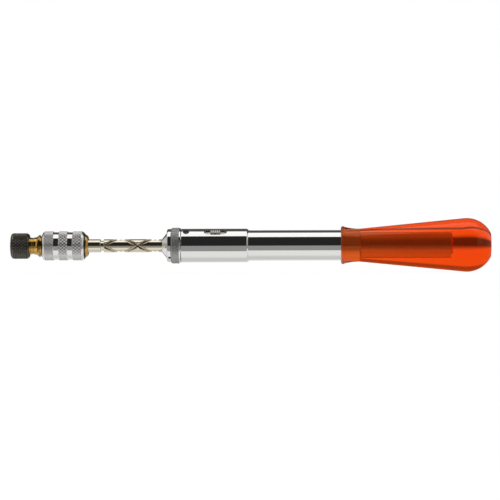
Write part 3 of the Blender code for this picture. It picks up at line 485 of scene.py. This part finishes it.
def build_collet_nut():
    front, rear, radius = ends("collet_nut")
    collet_front, _, _ = ends("collet")
    tip = 2.3 * MM
    face = 4.4 * MM
    bore = 4.65 * MM
    cone_end = collet_front + 4.5 * MM
    cone_radius = tip + 0.5 * (cone_end - front)
    outline = [(front + 0.3 * MM, tip), (front, tip + 0.3 * MM)]
    outline += curve((front, face), (front, radius - 0.25 * MM), (front + 1.5 * MM, radius - 0.1 * MM), 8)
    outline += band(front + 1.6 * MM, rear - 1.25 * MM, radius)
    outline += [(rear - 1.1 * MM, radius - 0.2 * MM)]
    back_edge = rear - 0.9 * MM, radius - 0.35 * MM
    outline += curve(back_edge, (rear, radius - 0.7 * MM), (rear, radius - 1.5 * MM))
    outline += [(rear, bore), (cone_end, bore), (cone_end, cone_radius)]
    made = knurled("nut_with_knurl", outline, radius, NUT_KNURL)
    finish_piece(made, BLACK, "collet_nut", "black_oxide", "collet_nut")
    # Painted highlight on the nut knurl's crests and painted shade in its valleys.
    paint_knurl_light_and_shade(made, radius, NUT_KNURL, NUT_KNURL_PAINTED_LIGHT, NUT_KNURL_PAINTED_SHADE)


def build_collet():
    front, rear, _ = ends("collet")
    nut_front, _, _ = ends("collet_nut")
    bore = 1.1 * MM
    tip = 2.0 * MM
    head = 3.9 * MM
    tail = 2.6 * MM
    shoulder = front + 4.2 * MM
    outline = [(front + 0.25 * MM, bore), (front, bore + 0.2 * MM)]
    outline += curve((front, tip - 0.35 * MM), (front, tip), (front + 0.3 * MM, tip))
    outline += [(nut_front, tip), (shoulder - 0.2 * MM, head), (shoulder, head - 0.2 * MM), (shoulder, tail)]
    outline += [(rear - 0.2 * MM, tail), (rear, tail - 0.2 * MM), (rear, bore)]
    made = lathe("collet_with_slits", outline, ROUND_SMALL)
    slit = rectangle(22 * MM, 0.5 * MM)
    for i in range(3):
        angle = math.pi / 2 + TURN * i / 3
        cut(made, radial_prism(f"slit_{i}", slit, 0.0, head + MM, angle, front - 0.8 * MM))
    finish_piece(made, STEEL, "collet", "steel", "collet")


def build_vise_body():
    neck_front, shank_rear, radius = ends("vise_body")
    chuck_front, _, _ = ends("chuck_body")
    flange_rear = chuck_front - FIT
    neck = 4.5 * MM
    shank = 3.2 * MM
    bore = 2.75 * MM
    well = ends("collet")[1] + 2.5 * MM
    flare = flange_rear - 3.4 * MM
    edge = 0.4 * MM
    outline = [(well, 0.0), (well, bore), (neck_front + edge, bore), (neck_front, bore + edge)]
    outline += [(neck_front, neck - edge)]
    outline += band(neck_front + edge, flare - 0.9 * MM, neck, 0.09 * MM)
    outline += [(flare - 0.8 * MM, neck - 0.3 * MM), (flare - 0.3 * MM, neck - 0.3 * MM)]
    flared = flange_rear - 0.6 * MM, radius - 0.1 * MM
    outline += curve((flare, neck), (flange_rear - 1.6 * MM, neck), flared, 10)
    rim = flange_rear - 0.5 * MM, radius
    outline += curve(rim, (flange_rear, radius), (flange_rear, radius - 0.2 * MM), 3)
    ball_at = middle("chuck_ball")
    groove = 1.65 * MM
    floor = 2.4 * MM
    outline += [(flange_rear, shank), (ball_at - groove, shank)]
    outline += [(ball_at - groove * 0.6, floor), (ball_at + groove * 0.6, floor), (ball_at + groove, shank)]
    outline += [(shank_rear - edge, shank), (shank_rear, shank - edge), (shank_rear, 0.0)]
    made = lathe("vise_with_thread", outline, 96, thread(0.75 * MM, 0.12 * MM))
    finish_piece(made, BRASS, "spindle", "brass", "vise_body")


def spring_ring(name, node, inner, thick):
    """A flat ring that snaps into a groove, open on the side away from the camera."""
    front = ends(node)[0]
    rear = front + thick
    outer = -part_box(node)[0].y
    edge = 0.1 * MM
    opening = math.radians(25)
    steps = 60
    section = [(front, inner), (front, outer - edge), (front + edge, outer)]
    section += [(rear - edge, outer), (rear, outer - edge), (rear, inner)]
    rings = []
    for i in range(steps + 1):
        a = opening + (TURN - 2 * opening) * i / steps
        rings.append([(x, r * math.cos(a), r * math.sin(a)) for x, r in section])
    finish_piece(swept(name, rings), BLACK, "spindle", "black_oxide", node)


def build_sleeve():
    front, rear, radius = ends("chuck_sleeve")
    groove = 7.25 * MM
    bore = 5.85 * MM
    chamber = 6.6 * MM
    slope = 0.22 * MM
    flush = radius - 0.1 * MM
    outline = [(front, radius - 0.95 * MM), (front + 0.08 * MM, radius - 0.85 * MM)]
    outline += [(front + 1.0 * MM, flush)]
    start = front + 1.1 * MM
    for begin, end in ((5.7 * MM, 8.8 * MM), (13.1 * MM, 16.1 * MM)):
        outline += band(start, front + begin, radius)
        outline += [(front + begin + slope, groove), (front + end - slope, groove)]
        start = front + end
    outline += band(start, rear - 1.2 * MM, radius)
    outline += [(rear - 1.1 * MM, flush), (rear - 0.08 * MM, radius - 0.6 * MM), (rear, radius - 0.7 * MM)]
    ball_at = middle("chuck_ball")
    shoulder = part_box("sleeve_spring")[0].x - GAP
    recess = bore + 0.9 * MM
    outline += [(rear, chamber), (shoulder, chamber), (shoulder, bore), (ball_at + 0.4 * MM, bore)]
    outline += [(ball_at - 3.8 * MM, recess), (front + 2.0 * MM, recess)]
    outline += [(front + 1.6 * MM, bore), (front, bore)]
    made = knurled("sleeve_with_knurl", outline, radius, SLEEVE_KNURL)
    finish_piece(made, CHROME, "sleeve", "chrome", "chuck_sleeve")
    # Painted highlight on the sleeve knurl's crests and painted shade in its valleys.
    paint_knurl_light_and_shade(made, radius, SLEEVE_KNURL, KNURL_PAINTED_LIGHT, KNURL_PAINTED_SHADE)


def build_chuck_body():
    front, rear, collar = ends("chuck_body")
    clip_front, clip_rear, _ = ends("sleeve_clip")
    ring_front = ends("collar_ring")[0]
    shank_bore = 3.35 * MM
    spindle_bore = 3.6 * MM
    lip = CLIP_SEAT + 0.3 * MM
    body = 5.7 * MM
    collar_rear = ring_front - FIT
    collar_front = collar_rear - 4.4 * MM
    cone_front = ring_front + COLLAR_RING_SHOWN + FIT
    cone = COLLAR_RING_SEAT + 1.2 * MM
    spindle_front = ends("spindle")[0]
    outline = [(front, shank_bore), (front, lip), (clip_front - FIT, lip), (clip_front - FIT, CLIP_SEAT)]
    outline += [(clip_rear + FIT, CLIP_SEAT), (clip_rear + FIT, body), (collar_front, body)]
    outline += [(collar_front, collar), (collar_rear, collar), (collar_rear, COLLAR_RING_SEAT)]
    outline += [(cone_front, COLLAR_RING_SEAT), (cone_front, cone)]
    cone_tip = rear, spindle_bore + 0.4 * MM
    outline += curve((cone_front, cone), (rear - 0.1 * MM, cone - 0.35 * MM), cone_tip, 8)
    outline += [(rear, spindle_bore), (spindle_front - GAP, spindle_bore), (spindle_front - GAP, shank_bore)]
    made = lathe("chuck_collar", outline, ROUND)
    ball_side = math.pi / 2
    hole = hole_for("chuck_ball")
    cut(made, radial_prism("ball_hole", hole, shank_bore - MM, body + MM, ball_side, middle("chuck_ball")))
    hole = hole_for("chuck_pin")
    cut(made, radial_prism("pin_hole", hole, -collar - MM, collar + MM, 0.0, middle("chuck_pin")))
    finish_piece(made, BRASS, "spindle", "brass", "chuck_body")


# The spindle


def spiral_grooves(crossing, start):
    """Relief of the grooves of both hands, which cross on the camera's side at that station."""
    radius = ends("spindle")[2]
    lean = math.cos(math.atan2(TURN * radius, SPIRAL_LEAD))

    def relief(x, angle):
        deepest = np.zeros(np.broadcast_shapes(x.shape, angle.shape))
        for hand in (1, -1):
            for begin in range(SPIRAL_STARTS):
                centre = math.pi + TURN * begin / SPIRAL_STARTS + hand * TURN * (x - crossing) / SPIRAL_LEAD
                away = (angle - centre + math.pi) % TURN - math.pi
                off = np.clip(np.abs(away) * radius * lean / GROOVE_HALF, 0, 1)
                deepest = np.maximum(deepest, GROOVE_DEPTH * np.sqrt(1 - off**2))
        return -deepest * np.clip((x - start) / (0.6 * MM), 0, 1)

    return relief


def build_spindle():
    front, rear, radius = ends("spindle")
    nose_front, _, _ = ends("nose_cap")
    _, chuck_rear, _ = ends("chuck_body")
    _, guide_rear, _ = ends("ratchet_guide")
    lock = chuck_rear + LOCK_GROOVE_FROM_CHUCK
    waist = radius - LOCK_GROOVE_DEPTH
    tail = 2.3 * MM
    edge = 0.35 * MM
    foot = 0.25 * MM
    groove_front = lock - LOCK_GROOVE_HALF
    groove_rear = lock + LOCK_GROOVE_HALF
    shown_end = nose_front + 2 * MM
    outline = [(front, 0.0), (front, radius - 0.3 * MM), (front + 0.3 * MM, radius)]
    outline += curve((groove_front - edge, radius), (groove_front, radius), (groove_front, radius - edge), 4)
    outline += curve((groove_front, waist + foot), (groove_front, waist), (groove_front + foot, waist), 3)
    outline += curve((groove_rear - foot, waist), (groove_rear, waist), (groove_rear, waist + foot), 3)
    outline += curve((groove_rear, radius - edge), (groove_rear, radius), (groove_rear + edge, radius), 4)
    outline += band(groove_rear + 0.4 * MM, shown_end, radius, 0.12 * MM)
    outline += band(shown_end + 0.4 * MM, guide_rear, radius, 0.5 * MM)
    outline += [(guide_rear, tail), (rear, tail), (rear, 0.0)]
    grooves = spiral_grooves(nose_front - SPIRAL_FROM_NOSE, groove_rear)
    made = lathe("spindle_with_grooves", outline, 240, grooves)
    finish_piece(made, NICKEL, "spindle", "nickel", "spindle")

    def in_spiral(middles):
        return (np.hypot(middles[:, 1], middles[:, 2]) < radius - 0.3 * MM) & (middles[:, 0] > groove_rear)

    # The deeper faces of the spiral grooves get painted shade.
    repaint(made, GROOVE_PAINTED_SHADE, in_spiral)


# The barrel


def build_nose():
    front, rear, ring_radius = ends("nose_cap")
    mouth = ends("spindle")[2] + FIT
    ring_rear = ends("lock_ring")[0] - FIT
    ring_front = ring_rear - 2.15 * MM
    cone = ring_radius - 1.9 * MM
    spigot = 6.0 * MM
    bush_front, _, bush = ends("spindle_bush")
    outline = [(front + 0.15 * MM, mouth)]
    outline += [(front, mouth + 0.08 * MM), (front + 0.1 * MM, mouth + 0.2 * MM), (ring_front, cone)]
    edge = 0.9 * MM
    rounded = ring_front + edge, ring_radius
    outline += curve((ring_front, ring_radius - edge), (ring_front, ring_radius), rounded, 8)
    outline += [(ring_rear, ring_radius), (ring_rear, spigot), (rear, spigot), (rear, bush + FIT)]
    outline += [(bush_front - GAP, bush + FIT), (bush_front - GAP, mouth)]
    made = lathe("nose_with_hole", outline, ROUND)
    hole_radius = 0.6 * MM
    hole = circle(hole_radius, 24)
    at = ring_rear - 0.7 * MM
    cut(made, radial_prism("spanner_hole", hole, ring_radius - 1.2 * MM, ring_radius + MM, SPANNER_ANGLE, at))
    pin_hole = hole_for("lock_pin", 24)
    pin_side = SELECTOR_ANGLE + math.pi
    cut(made, radial_prism("latch_hole", pin_hole, mouth - FIT, spigot + MM, pin_side, middle("lock_pin")))
    finish_piece(made, CHROME, "barrel", "chrome", "nose_cap")

    def hole_wall_in_painted_shade(middles):
        across = middles[:, 1] * math.sin(SPANNER_ANGLE) - middles[:, 2] * math.cos(SPANNER_ANGLE)
        height = middles[:, 1] * math.cos(SPANNER_ANGLE) + middles[:, 2] * math.sin(SPANNER_ANGLE)
        return (np.hypot(middles[:, 0] - at, across) < hole_radius * 1.01) & (height > spigot)

    # The spanner hole's wall is painted black: painted shade inside the hole.
    repaint(made, BLACK, hole_wall_in_painted_shade)


def build_lock_ring():
    front, rear, radius = ends("lock_ring")
    bore = 6.15 * MM
    slant = 0.75 * MM
    drop = 0.42 * MM
    flush = radius - RING_KNURL.depth
    outline = [(front, bore)]
    outline += curve((front, radius - 0.6 * MM), (front, flush - 0.1 * MM), (front + 0.5 * MM, flush), 4)
    outline += band(front + 0.6 * MM, rear - slant - 0.15 * MM, radius)
    outline += [(rear - slant, flush), (rear - 0.05 * MM, radius - drop), (rear, radius - drop - 0.1 * MM)]
    outline += [(rear, bore)]
    made = knurled("lock_ring_with_knurl", outline, radius, RING_KNURL)
    finish_piece(made, MATTE, "lock_ring", "chrome", "lock_ring")
    repaint(made, CHROME, lambda at: at[:, 0] > rear - slant - 0.05 * MM)


def build_housing():
    front, rear, radius = ends("ratchet_housing")
    bore = ends("outer_tube")[2] + FIT
    outline = [(front, bore)]
    outline += curve((front, radius - 0.25 * MM), (front, radius), (front + 0.25 * MM, radius), 4)
    chamfer = rear - 0.6 * MM, radius - 0.07 * MM
    outline += curve((rear - 0.85 * MM, radius), (rear - 0.7 * MM, radius), chamfer, 3)
    outline += [(rear - 0.05 * MM, radius - 0.45 * MM), (rear, radius - 0.52 * MM), (rear, bore)]
    made = lathe("housing_with_slot", outline, 192)
    low, high = bore - MM, radius + MM
    slot = stadium(*SLOT_SIZE)
    cut(made, radial_prism("slot_hole", slot, low, high, SELECTOR_ANGLE, front + SELECTOR_PLACE))
    hole = circle(SCREW_RADIUS + FIT)
    cut(made, radial_prism("screw_hole", hole, low, high, SELECTOR_ANGLE, front + SCREW_PLACE))
    finish_piece(made, CHROME, "barrel", "chrome", "ratchet_housing")


def build_screw():
    """A slotted screw with a low dome, sunk in the housing."""
    housing_front, _, housing = ends("ratchet_housing")
    foot = ends("ratchet_guide")[2] + FIT
    rim = housing - FIT
    top = housing + 0.05 * MM
    shank = 0.85 * MM
    at = housing_front + SCREW_PLACE
    outline = [(foot - 1.7 * MM, 0.0), (foot - 1.7 * MM, shank), (foot, shank), (foot, SCREW_RADIUS)]
    outline += curve((rim, SCREW_RADIUS), (top, SCREW_RADIUS * 0.9), (top, 0.0), 8)
    made = radial_turned("screw_with_slot", outline, SELECTOR_ANGLE, at)
    slot = rectangle(4 * MM, 0.45 * MM)
    cut(made, radial_prism("screw_slot", slot, rim - 0.3 * MM, top + MM, SELECTOR_ANGLE, at))
    finish_piece(made, DARK, "barrel", "steel", "housing_screw")


def build_button():
    """The selector: a cap with five round ribs across, on a neck that runs in the slot."""
    housing_front, _, housing = ends("ratchet_housing")
    at = housing_front + SELECTOR_PLACE
    half = 2.7 * MM
    width = 3.4 * MM
    shelf = housing + FIT
    rib = half / 5
    ribs = []
    for i in range(5):
        middle = half - rib * (2 * i + 1)
        for k in range(1, 8):
            a = math.pi * k / 8
            ribs.append((middle + rib * math.cos(a), shelf + 0.3 * MM + 0.45 * MM * math.sin(a)))
    side_view = [(-half, shelf), (half, shelf)] + ribs
    points, faces = standing(side_view, -width / 2, width / 2)
    swapped = [(a, c, b) for a, b, c in points]
    mesh = closed_mesh("button_with_ribs", outward(swapped, SELECTOR_ANGLE, at), faces)
    made = piece("button_with_ribs", mesh)
    soften(made, 0.12 * MM)
    plate_top = ends("outer_tube")[2] - FIT
    oval = stadium(3.4 * MM, 3.0 * MM)
    neck = radial_prism("button_neck", oval, plate_top, shelf + 0.2 * MM, SELECTOR_ANGLE, at)
    finish_piece(made, BUTTON, "selector", "bright_steel", "selector_button")
    finish_piece(neck, BRIGHT, "selector", "bright_steel", "selector_button")


def build_tube():
    front, rear, radius = ends("outer_tube")
    bore = 7.2 * MM
    outline = [(front, bore), (front, radius - 0.2 * MM), (front + 0.2 * MM, radius)]
    outline += [(rear - 0.3 * MM, radius), (rear, radius - 0.3 * MM), (rear, bore)]
    made = lathe("tube_chromed", outline, 160)
    finish_piece(made, CHROME, "barrel", "chrome", "outer_tube")


def build_handle():
    front, rear, bulge = ends("handle")
    tube_rear, tube = ends("outer_tube")[1:]
    tang_end = ends("handle_tang")[1] - BURIED
    tang = TANG_RADIUS - BURIED
    hollow = tube - BURIED
    floor = tube_rear - BURIED
    lip_at = front + HANDLE_FACE_RISE
    throat = 9.2 * MM
    waist = 8.75 * MM
    lip = 10.2 * MM
    flat = 6.35 * MM
    centre = rear - math.sqrt(bulge**2 - flat**2)
    away = centre - lip_at - throat
    reach = math.acos(bulge / math.hypot(away, waist))
    first = math.pi - math.atan2(waist, away) - reach
    last = math.asin(flat / bulge)
    outline = [(tang_end, 0.0), (tang_end, tang), (floor, tang), (floor, hollow)]
    outline += [(front + 0.2 * MM, hollow), (front, tube + 0.2 * MM)]
    face_top = lip_at - 0.2 * MM, lip - 0.3 * MM
    outline += curve((front, tube + 0.25 * MM), (front + 0.1 * MM, lip - 0.7 * MM), face_top)
    rolled = lip_at + 0.4 * MM, lip - 0.14 * MM
    outline += curve((lip_at - 0.15 * MM, lip - 0.2 * MM), (lip_at, lip), rolled)
    for i in range(2, 25):
        t = i / 24
        outline.append((lip_at + throat * t, waist + (lip - waist) * (1 - t) ** 2.2))
    for i in range(1, 49):
        a = first + (last - first) * i / 48
        outline.append((centre + bulge * math.cos(a), bulge * math.sin(a)))
    outline += [(rear, flat - 0.3 * MM), (rear, 0.0)]
    made = lathe("handle_of_acetate", outline, 160)
    finish_piece(made, ORANGE, "barrel", "orange_acetate", "handle")


def build_tang():
    front, rear, head = ends("handle_tang")
    tube_rear = ends("outer_tube")[1]
    edge = 0.65 * MM
    outline = [(front, 0.0), (front, head - 0.2 * MM), (front + 0.2 * MM, head), (tube_rear, head)]
    outline += [(tube_rear, TANG_RADIUS), (rear - edge, TANG_RADIUS), (rear, TANG_RADIUS - edge), (rear, 0.0)]
    made = lathe("tang_stem", outline, 96)
    finish_piece(made, TANG, "barrel", "steel", "handle_tang")


def build_spring(name, node, body, wire, turns):
    """A wound spring in its CAD node's place."""
    low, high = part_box(node)
    radius = max(high.y, high.z, -low.y, -low.z) - wire
    start, end = low.x + wire, high.x - wire
    steps = round(turns * 32)
    corners = 8
    rings = []
    for i in range(steps + 1):
        a = TURN * turns * i / steps
        x = start + (end - start) * i / steps
        ring = []
        for k in range(corners):
            b = TURN * k / corners
            r = radius + wire * math.cos(b)
            ring.append((x + wire * math.sin(b), r * math.cos(a), r * math.sin(a)))
        rings.append(ring)
    made = swept(name, rings)
    finish_piece(made, STEEL, body, "steel", node)
    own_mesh(made)


def paint_frame():
    """Gives the CAD nodes, shown or not, the finish of their slot."""
    finishes = {
        "chrome": CHROME,
        "steel": STEEL,
        "bright_steel": BRIGHT,
        "nickel": NICKEL,
        "brass": BRASS,
        "black_oxide": BLACK,
        "orange_acetate": ORANGE,
    }
    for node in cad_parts.values():
        slot = node.data.materials[0].name.split(".")[0]
        node.data.materials.clear()
        node.data.materials.append(finishes.get(slot, STEEL))
    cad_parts["selector_plate"].data.materials[0] = PLATE


# The studio


class Graph:
    """Short ways to add nodes to the world's or the floor's tree."""

    def __init__(self, tree):
        self.tree = tree
        self.rays = tree.nodes.new("ShaderNodeLightPath").outputs

    def place(self, kind):
        """The three coordinates of a texture coordinate of that kind."""
        source = self.tree.nodes.new("ShaderNodeTexCoord")
        parts = self.tree.nodes.new("ShaderNodeSeparateXYZ")
        self.tree.links.new(source.outputs[kind], parts.inputs[0])
        return parts.outputs

    def math(self, kind, a, b=0.0):
        """A Math node of that kind on values or sockets."""
        node = self.tree.nodes.new("ShaderNodeMath")
        node.operation = kind
        for socket, value in zip(node.inputs, (a, b)):
            if isinstance(value, (int, float)):
                socket.default_value = value
            else:
                self.tree.links.new(value, socket)
        return node.outputs[0]

    def total(self, first, *others):
        for other in others:
            first = self.math("ADD", first, other)
        return first

    def ramp(self, value, start, end, low, high):
        """Goes smoothly from low at start to high at end."""
        node = self.tree.nodes.new("ShaderNodeMapRange")
        node.interpolation_type = "SMOOTHSTEP"
        for name, number in (("From Min", start), ("From Max", end), ("To Min", low), ("To Max", high)):
            node.inputs[name].default_value = number
        self.tree.links.new(value, node.inputs["Value"])
        return node.outputs["Result"]

    def choose(self, test, yes, no):
        """yes where test is 1, no where it is 0."""
        kept = self.math("MULTIPLY", test, yes)
        other = self.math("MULTIPLY", self.math("SUBTRACT", 1.0, test), no)
        return self.math("ADD", kept, other)

    def by_bounce(self, clear, mirrored, other):
        """Picks by the kind of ray: through clear plastic, mirrored by metal, or neither."""
        shiny = self.choose(self.rays["Is Glossy Ray"], mirrored, other)
        return self.choose(self.rays["Is Transmission Ray"], clear, shiny)


def mirrored_room(graph, x, y, z):
    """What metal sees of the room: dark, a soft box overhead, pale walls past both ends of the tool."""
    lean = graph.math("DIVIDE", y, graph.math("MAXIMUM", z, 0.001))
    near_edge = graph.ramp(lean, -0.45, -0.38, 0.0, 1.15)
    far_edge = graph.ramp(lean, 0.38, 0.46, 1.0, 0.0)
    box = graph.math("MULTIPLY", near_edge, far_edge)
    within = graph.ramp(graph.math("ABSOLUTE", x), 0.6, 0.7, 1.0, 0.0)
    above = graph.math("MULTIPLY", within, graph.ramp(z, 0.0, 0.05, 0.0, 1.0))
    return graph.total(
        graph.math("MULTIPLY", box, above),
        graph.ramp(y, 0.0, 0.3, 0.02, 0.09),
        graph.ramp(x, -0.70, -0.55, 0.5, 0.0),
        graph.ramp(x, 0.62, 0.72, 0.0, 0.6),
        graph.ramp(x, 0.88, 0.93, 0.0, -0.30),
    )


def room_through_plastic(graph, y, z):
    """What the handle lets through: a lit backdrop, darker higher up, and a dark room in front."""
    backdrop = graph.total(
        graph.ramp(z, 0.0, 0.15, 0.1, 1.05),
        graph.ramp(z, 0.60, 0.72, 0.0, -0.66),
        graph.ramp(z, 0.86, 0.93, 0.0, 0.25),
        graph.ramp(z, 0.96, 0.99, 0.0, -0.24),
    )
    front = graph.ramp(z, 0.80, 0.99, 0.17, 0.40)
    return graph.choose(graph.ramp(y, -0.05, 0.05, 0.0, 1.0), backdrop, front)


def build_world():
    """White for the camera; metal and plastic see a studio, and other surfaces an even dim light."""
    world = bpy.data.worlds.new("studio")
    bpy.context.scene.world = world
    world.use_nodes = True
    tree = world.node_tree
    graph = Graph(tree)
    x, y, z = graph.place("Generated")
    seen = graph.by_bounce(room_through_plastic(graph, y, z), mirrored_room(graph, x, y, z), 0.35)
    strength = graph.choose(graph.rays["Is Camera Ray"], 1.0, seen)
    tree.links.new(strength, tree.nodes["Background"].inputs["Strength"])
    tree.nodes["Background"].inputs["Color"].default_value = (1, 1, 1, 1)


def mirrored_floor(graph, away):
    """What metal sees of the floor: dimmer right under the tool, a painted shadow, then bright beside it,
    then grey, then dark.
    """
    return graph.total(
        graph.ramp(away, 3 * MM, 9 * MM, 0.67, 0.89),
        graph.ramp(away, 20.5 * MM, 23 * MM, 0.0, -0.57),
        graph.ramp(away, 330 * MM, 400 * MM, 0.0, -0.30),
    )


def floor_through_plastic(graph, x, y):
    """What the handle lets through of the floor: pale near by, and the edge of a shadow behind it."""
    away = graph.math("ABSOLUTE", y)
    front = graph.total(
        graph.ramp(away, 6 * MM, 30 * MM, 0.95, 0.35),
        graph.ramp(away, 30 * MM, 200 * MM, 0.0, -0.20),
    )
    across = graph.math("SUBTRACT", y, graph.math("MULTIPLY", x, SHADOW_SLOPE))
    behind = graph.total(
        graph.ramp(y, 62 * MM, 112 * MM, 1.05, 0.09),
        graph.ramp(across, SHADOW_EDGE - 4.0 * MM, SHADOW_EDGE - 2.2 * MM, 0.0, -0.85),
        graph.ramp(across, SHADOW_EDGE + 2.2 * MM, SHADOW_EDGE + 4.0 * MM, 0.0, 0.85),
    )
    return graph.choose(graph.ramp(y, -2 * MM, 2 * MM, 0.0, 1.0), behind, front)


def floor_material():
    """A floor that the camera sees as white, with the tool's shadow; metal and plastic see it as lit."""
    material, tree, shader = blank("pale_floor")
    graph = Graph(tree)
    x, y, _ = graph.place("Object")
    away = graph.math("ABSOLUTE", y)
    shader.inputs["Base Color"].default_value = (0.12, 0.12, 0.12, 1)
    shader.inputs["Roughness"].default_value = 1.0
    shader.inputs["Specular IOR Level"].default_value = 0.0
    shader.inputs["Emission Color"].default_value = (1, 1, 1, 1)
    white = graph.math("MULTIPLY", graph.rays["Is Camera Ray"], graph.ramp(away, 0.0, 1.4, 0.88, 0.97))
    tree.links.new(white, shader.inputs["Emission Strength"])

    glow = tree.nodes.new("ShaderNodeEmission")
    strength = graph.by_bounce(floor_through_plastic(graph, x, y), mirrored_floor(graph, away), 0.0)
    tree.links.new(strength, glow.inputs["Strength"])
    # Painted light: for mirrored rays, the floor past the handle's front and close to the tool glows orange,
    # standing for light through the handle.
    handle = ends("handle")[0]
    beyond = graph.ramp(x, handle + 2 * MM, handle + 9 * MM, 0.0, 1.0)
    under = graph.math("MULTIPLY", beyond, graph.ramp(away, 18 * MM, 30 * MM, 1.0, 0.0))
    orange_light_share = graph.choose(graph.rays["Is Transmission Ray"], 0.0, under)
    tree.links.new(tint(tree, orange_light_share, (1, 1, 1), (0.9, 0.25, 0.08), 0.0, 1.0), glow.inputs["Color"])

    mix = tree.nodes.new("ShaderNodeMixShader")
    bounced = graph.math("MAXIMUM", graph.rays["Is Glossy Ray"], graph.rays["Is Transmission Ray"])
    tree.links.new(bounced, mix.inputs["Fac"])
    tree.links.new(shader.outputs["BSDF"], mix.inputs[1])
    tree.links.new(glow.outputs["Emission"], mix.inputs[2])
    tree.links.new(mix.outputs["Shader"], tree.nodes["Material Output"].inputs["Surface"])
    return material


def build_floor():
    size = 12.0
    height = cad_box[0].z
    corners = [(-size, -size, height), (size, -size, height), (size, size, height), (-size, size, height)]
    mesh = bpy.data.meshes.new("floor")
    mesh.from_pydata(corners, [], [(0, 1, 2, 3)])
    floor = piece("floor", mesh)
    floor.data.materials.append(floor_material())


def build_lamp():
    data = bpy.data.lights.new("softbox", "AREA")
    data.shape = "RECTANGLE"
    data.size, data.size_y = LAMP_SIZE
    data.energy = LAMP_WATTS
    lamp = bpy.data.objects.new("softbox", data)
    lamp.location = (0.0, LAMP_BACK, LAMP_HEIGHT)
    lamp.visible_transmission = False
    lamp.visible_glossy = False
    bpy.context.scene.collection.objects.link(lamp)


def build_camera():
    low, high = cad_box
    width = (high.x - low.x) * PIXELS / TOOL_PIXELS
    data = bpy.data.cameras.new("camera")
    data.sensor_width = SENSOR
    data.lens = SENSOR * math.hypot(CAMERA_AWAY, CAMERA_ASIDE) / width
    camera = bpy.data.objects.new("camera", data)
    drop = (PIXELS / 2 - AXIS_PIXEL) * width / PIXELS
    yaw = math.atan2(CAMERA_ASIDE, CAMERA_AWAY)
    camera.location = ((low.x + high.x) / 2 + CAMERA_ASIDE, -CAMERA_AWAY, -drop)
    camera.rotation_euler = (math.pi / 2, CAMERA_ROLL, yaw)
    bpy.context.scene.collection.objects.link(camera)
    bpy.context.scene.camera = camera


paint_frame()
build_collet_nut()
build_collet()
build_vise_body()
clip_front, clip_rear, _ = ends("sleeve_clip")
spring_ring("clip_ring", "sleeve_clip", CLIP_SEAT + FIT, clip_rear - clip_front)
spring_ring("collar_ring_black", "collar_ring", COLLAR_RING_SEAT + FIT, COLLAR_RING_SHOWN)
build_sleeve()
build_chuck_body()
build_spindle()
build_nose()
build_lock_ring()
build_housing()
build_screw()
build_button()
build_tube()
build_handle()
build_tang()
build_spring("spring_of_spindle", "return_spring", "barrel", 0.5 * MM, 9)
build_spring("spring_of_sleeve", "sleeve_spring", "spindle", 0.22 * MM, 3.5)
build_world()
build_floor()
build_lamp()
build_camera()
bpy.context.scene.view_settings.view_transform = "Standard"
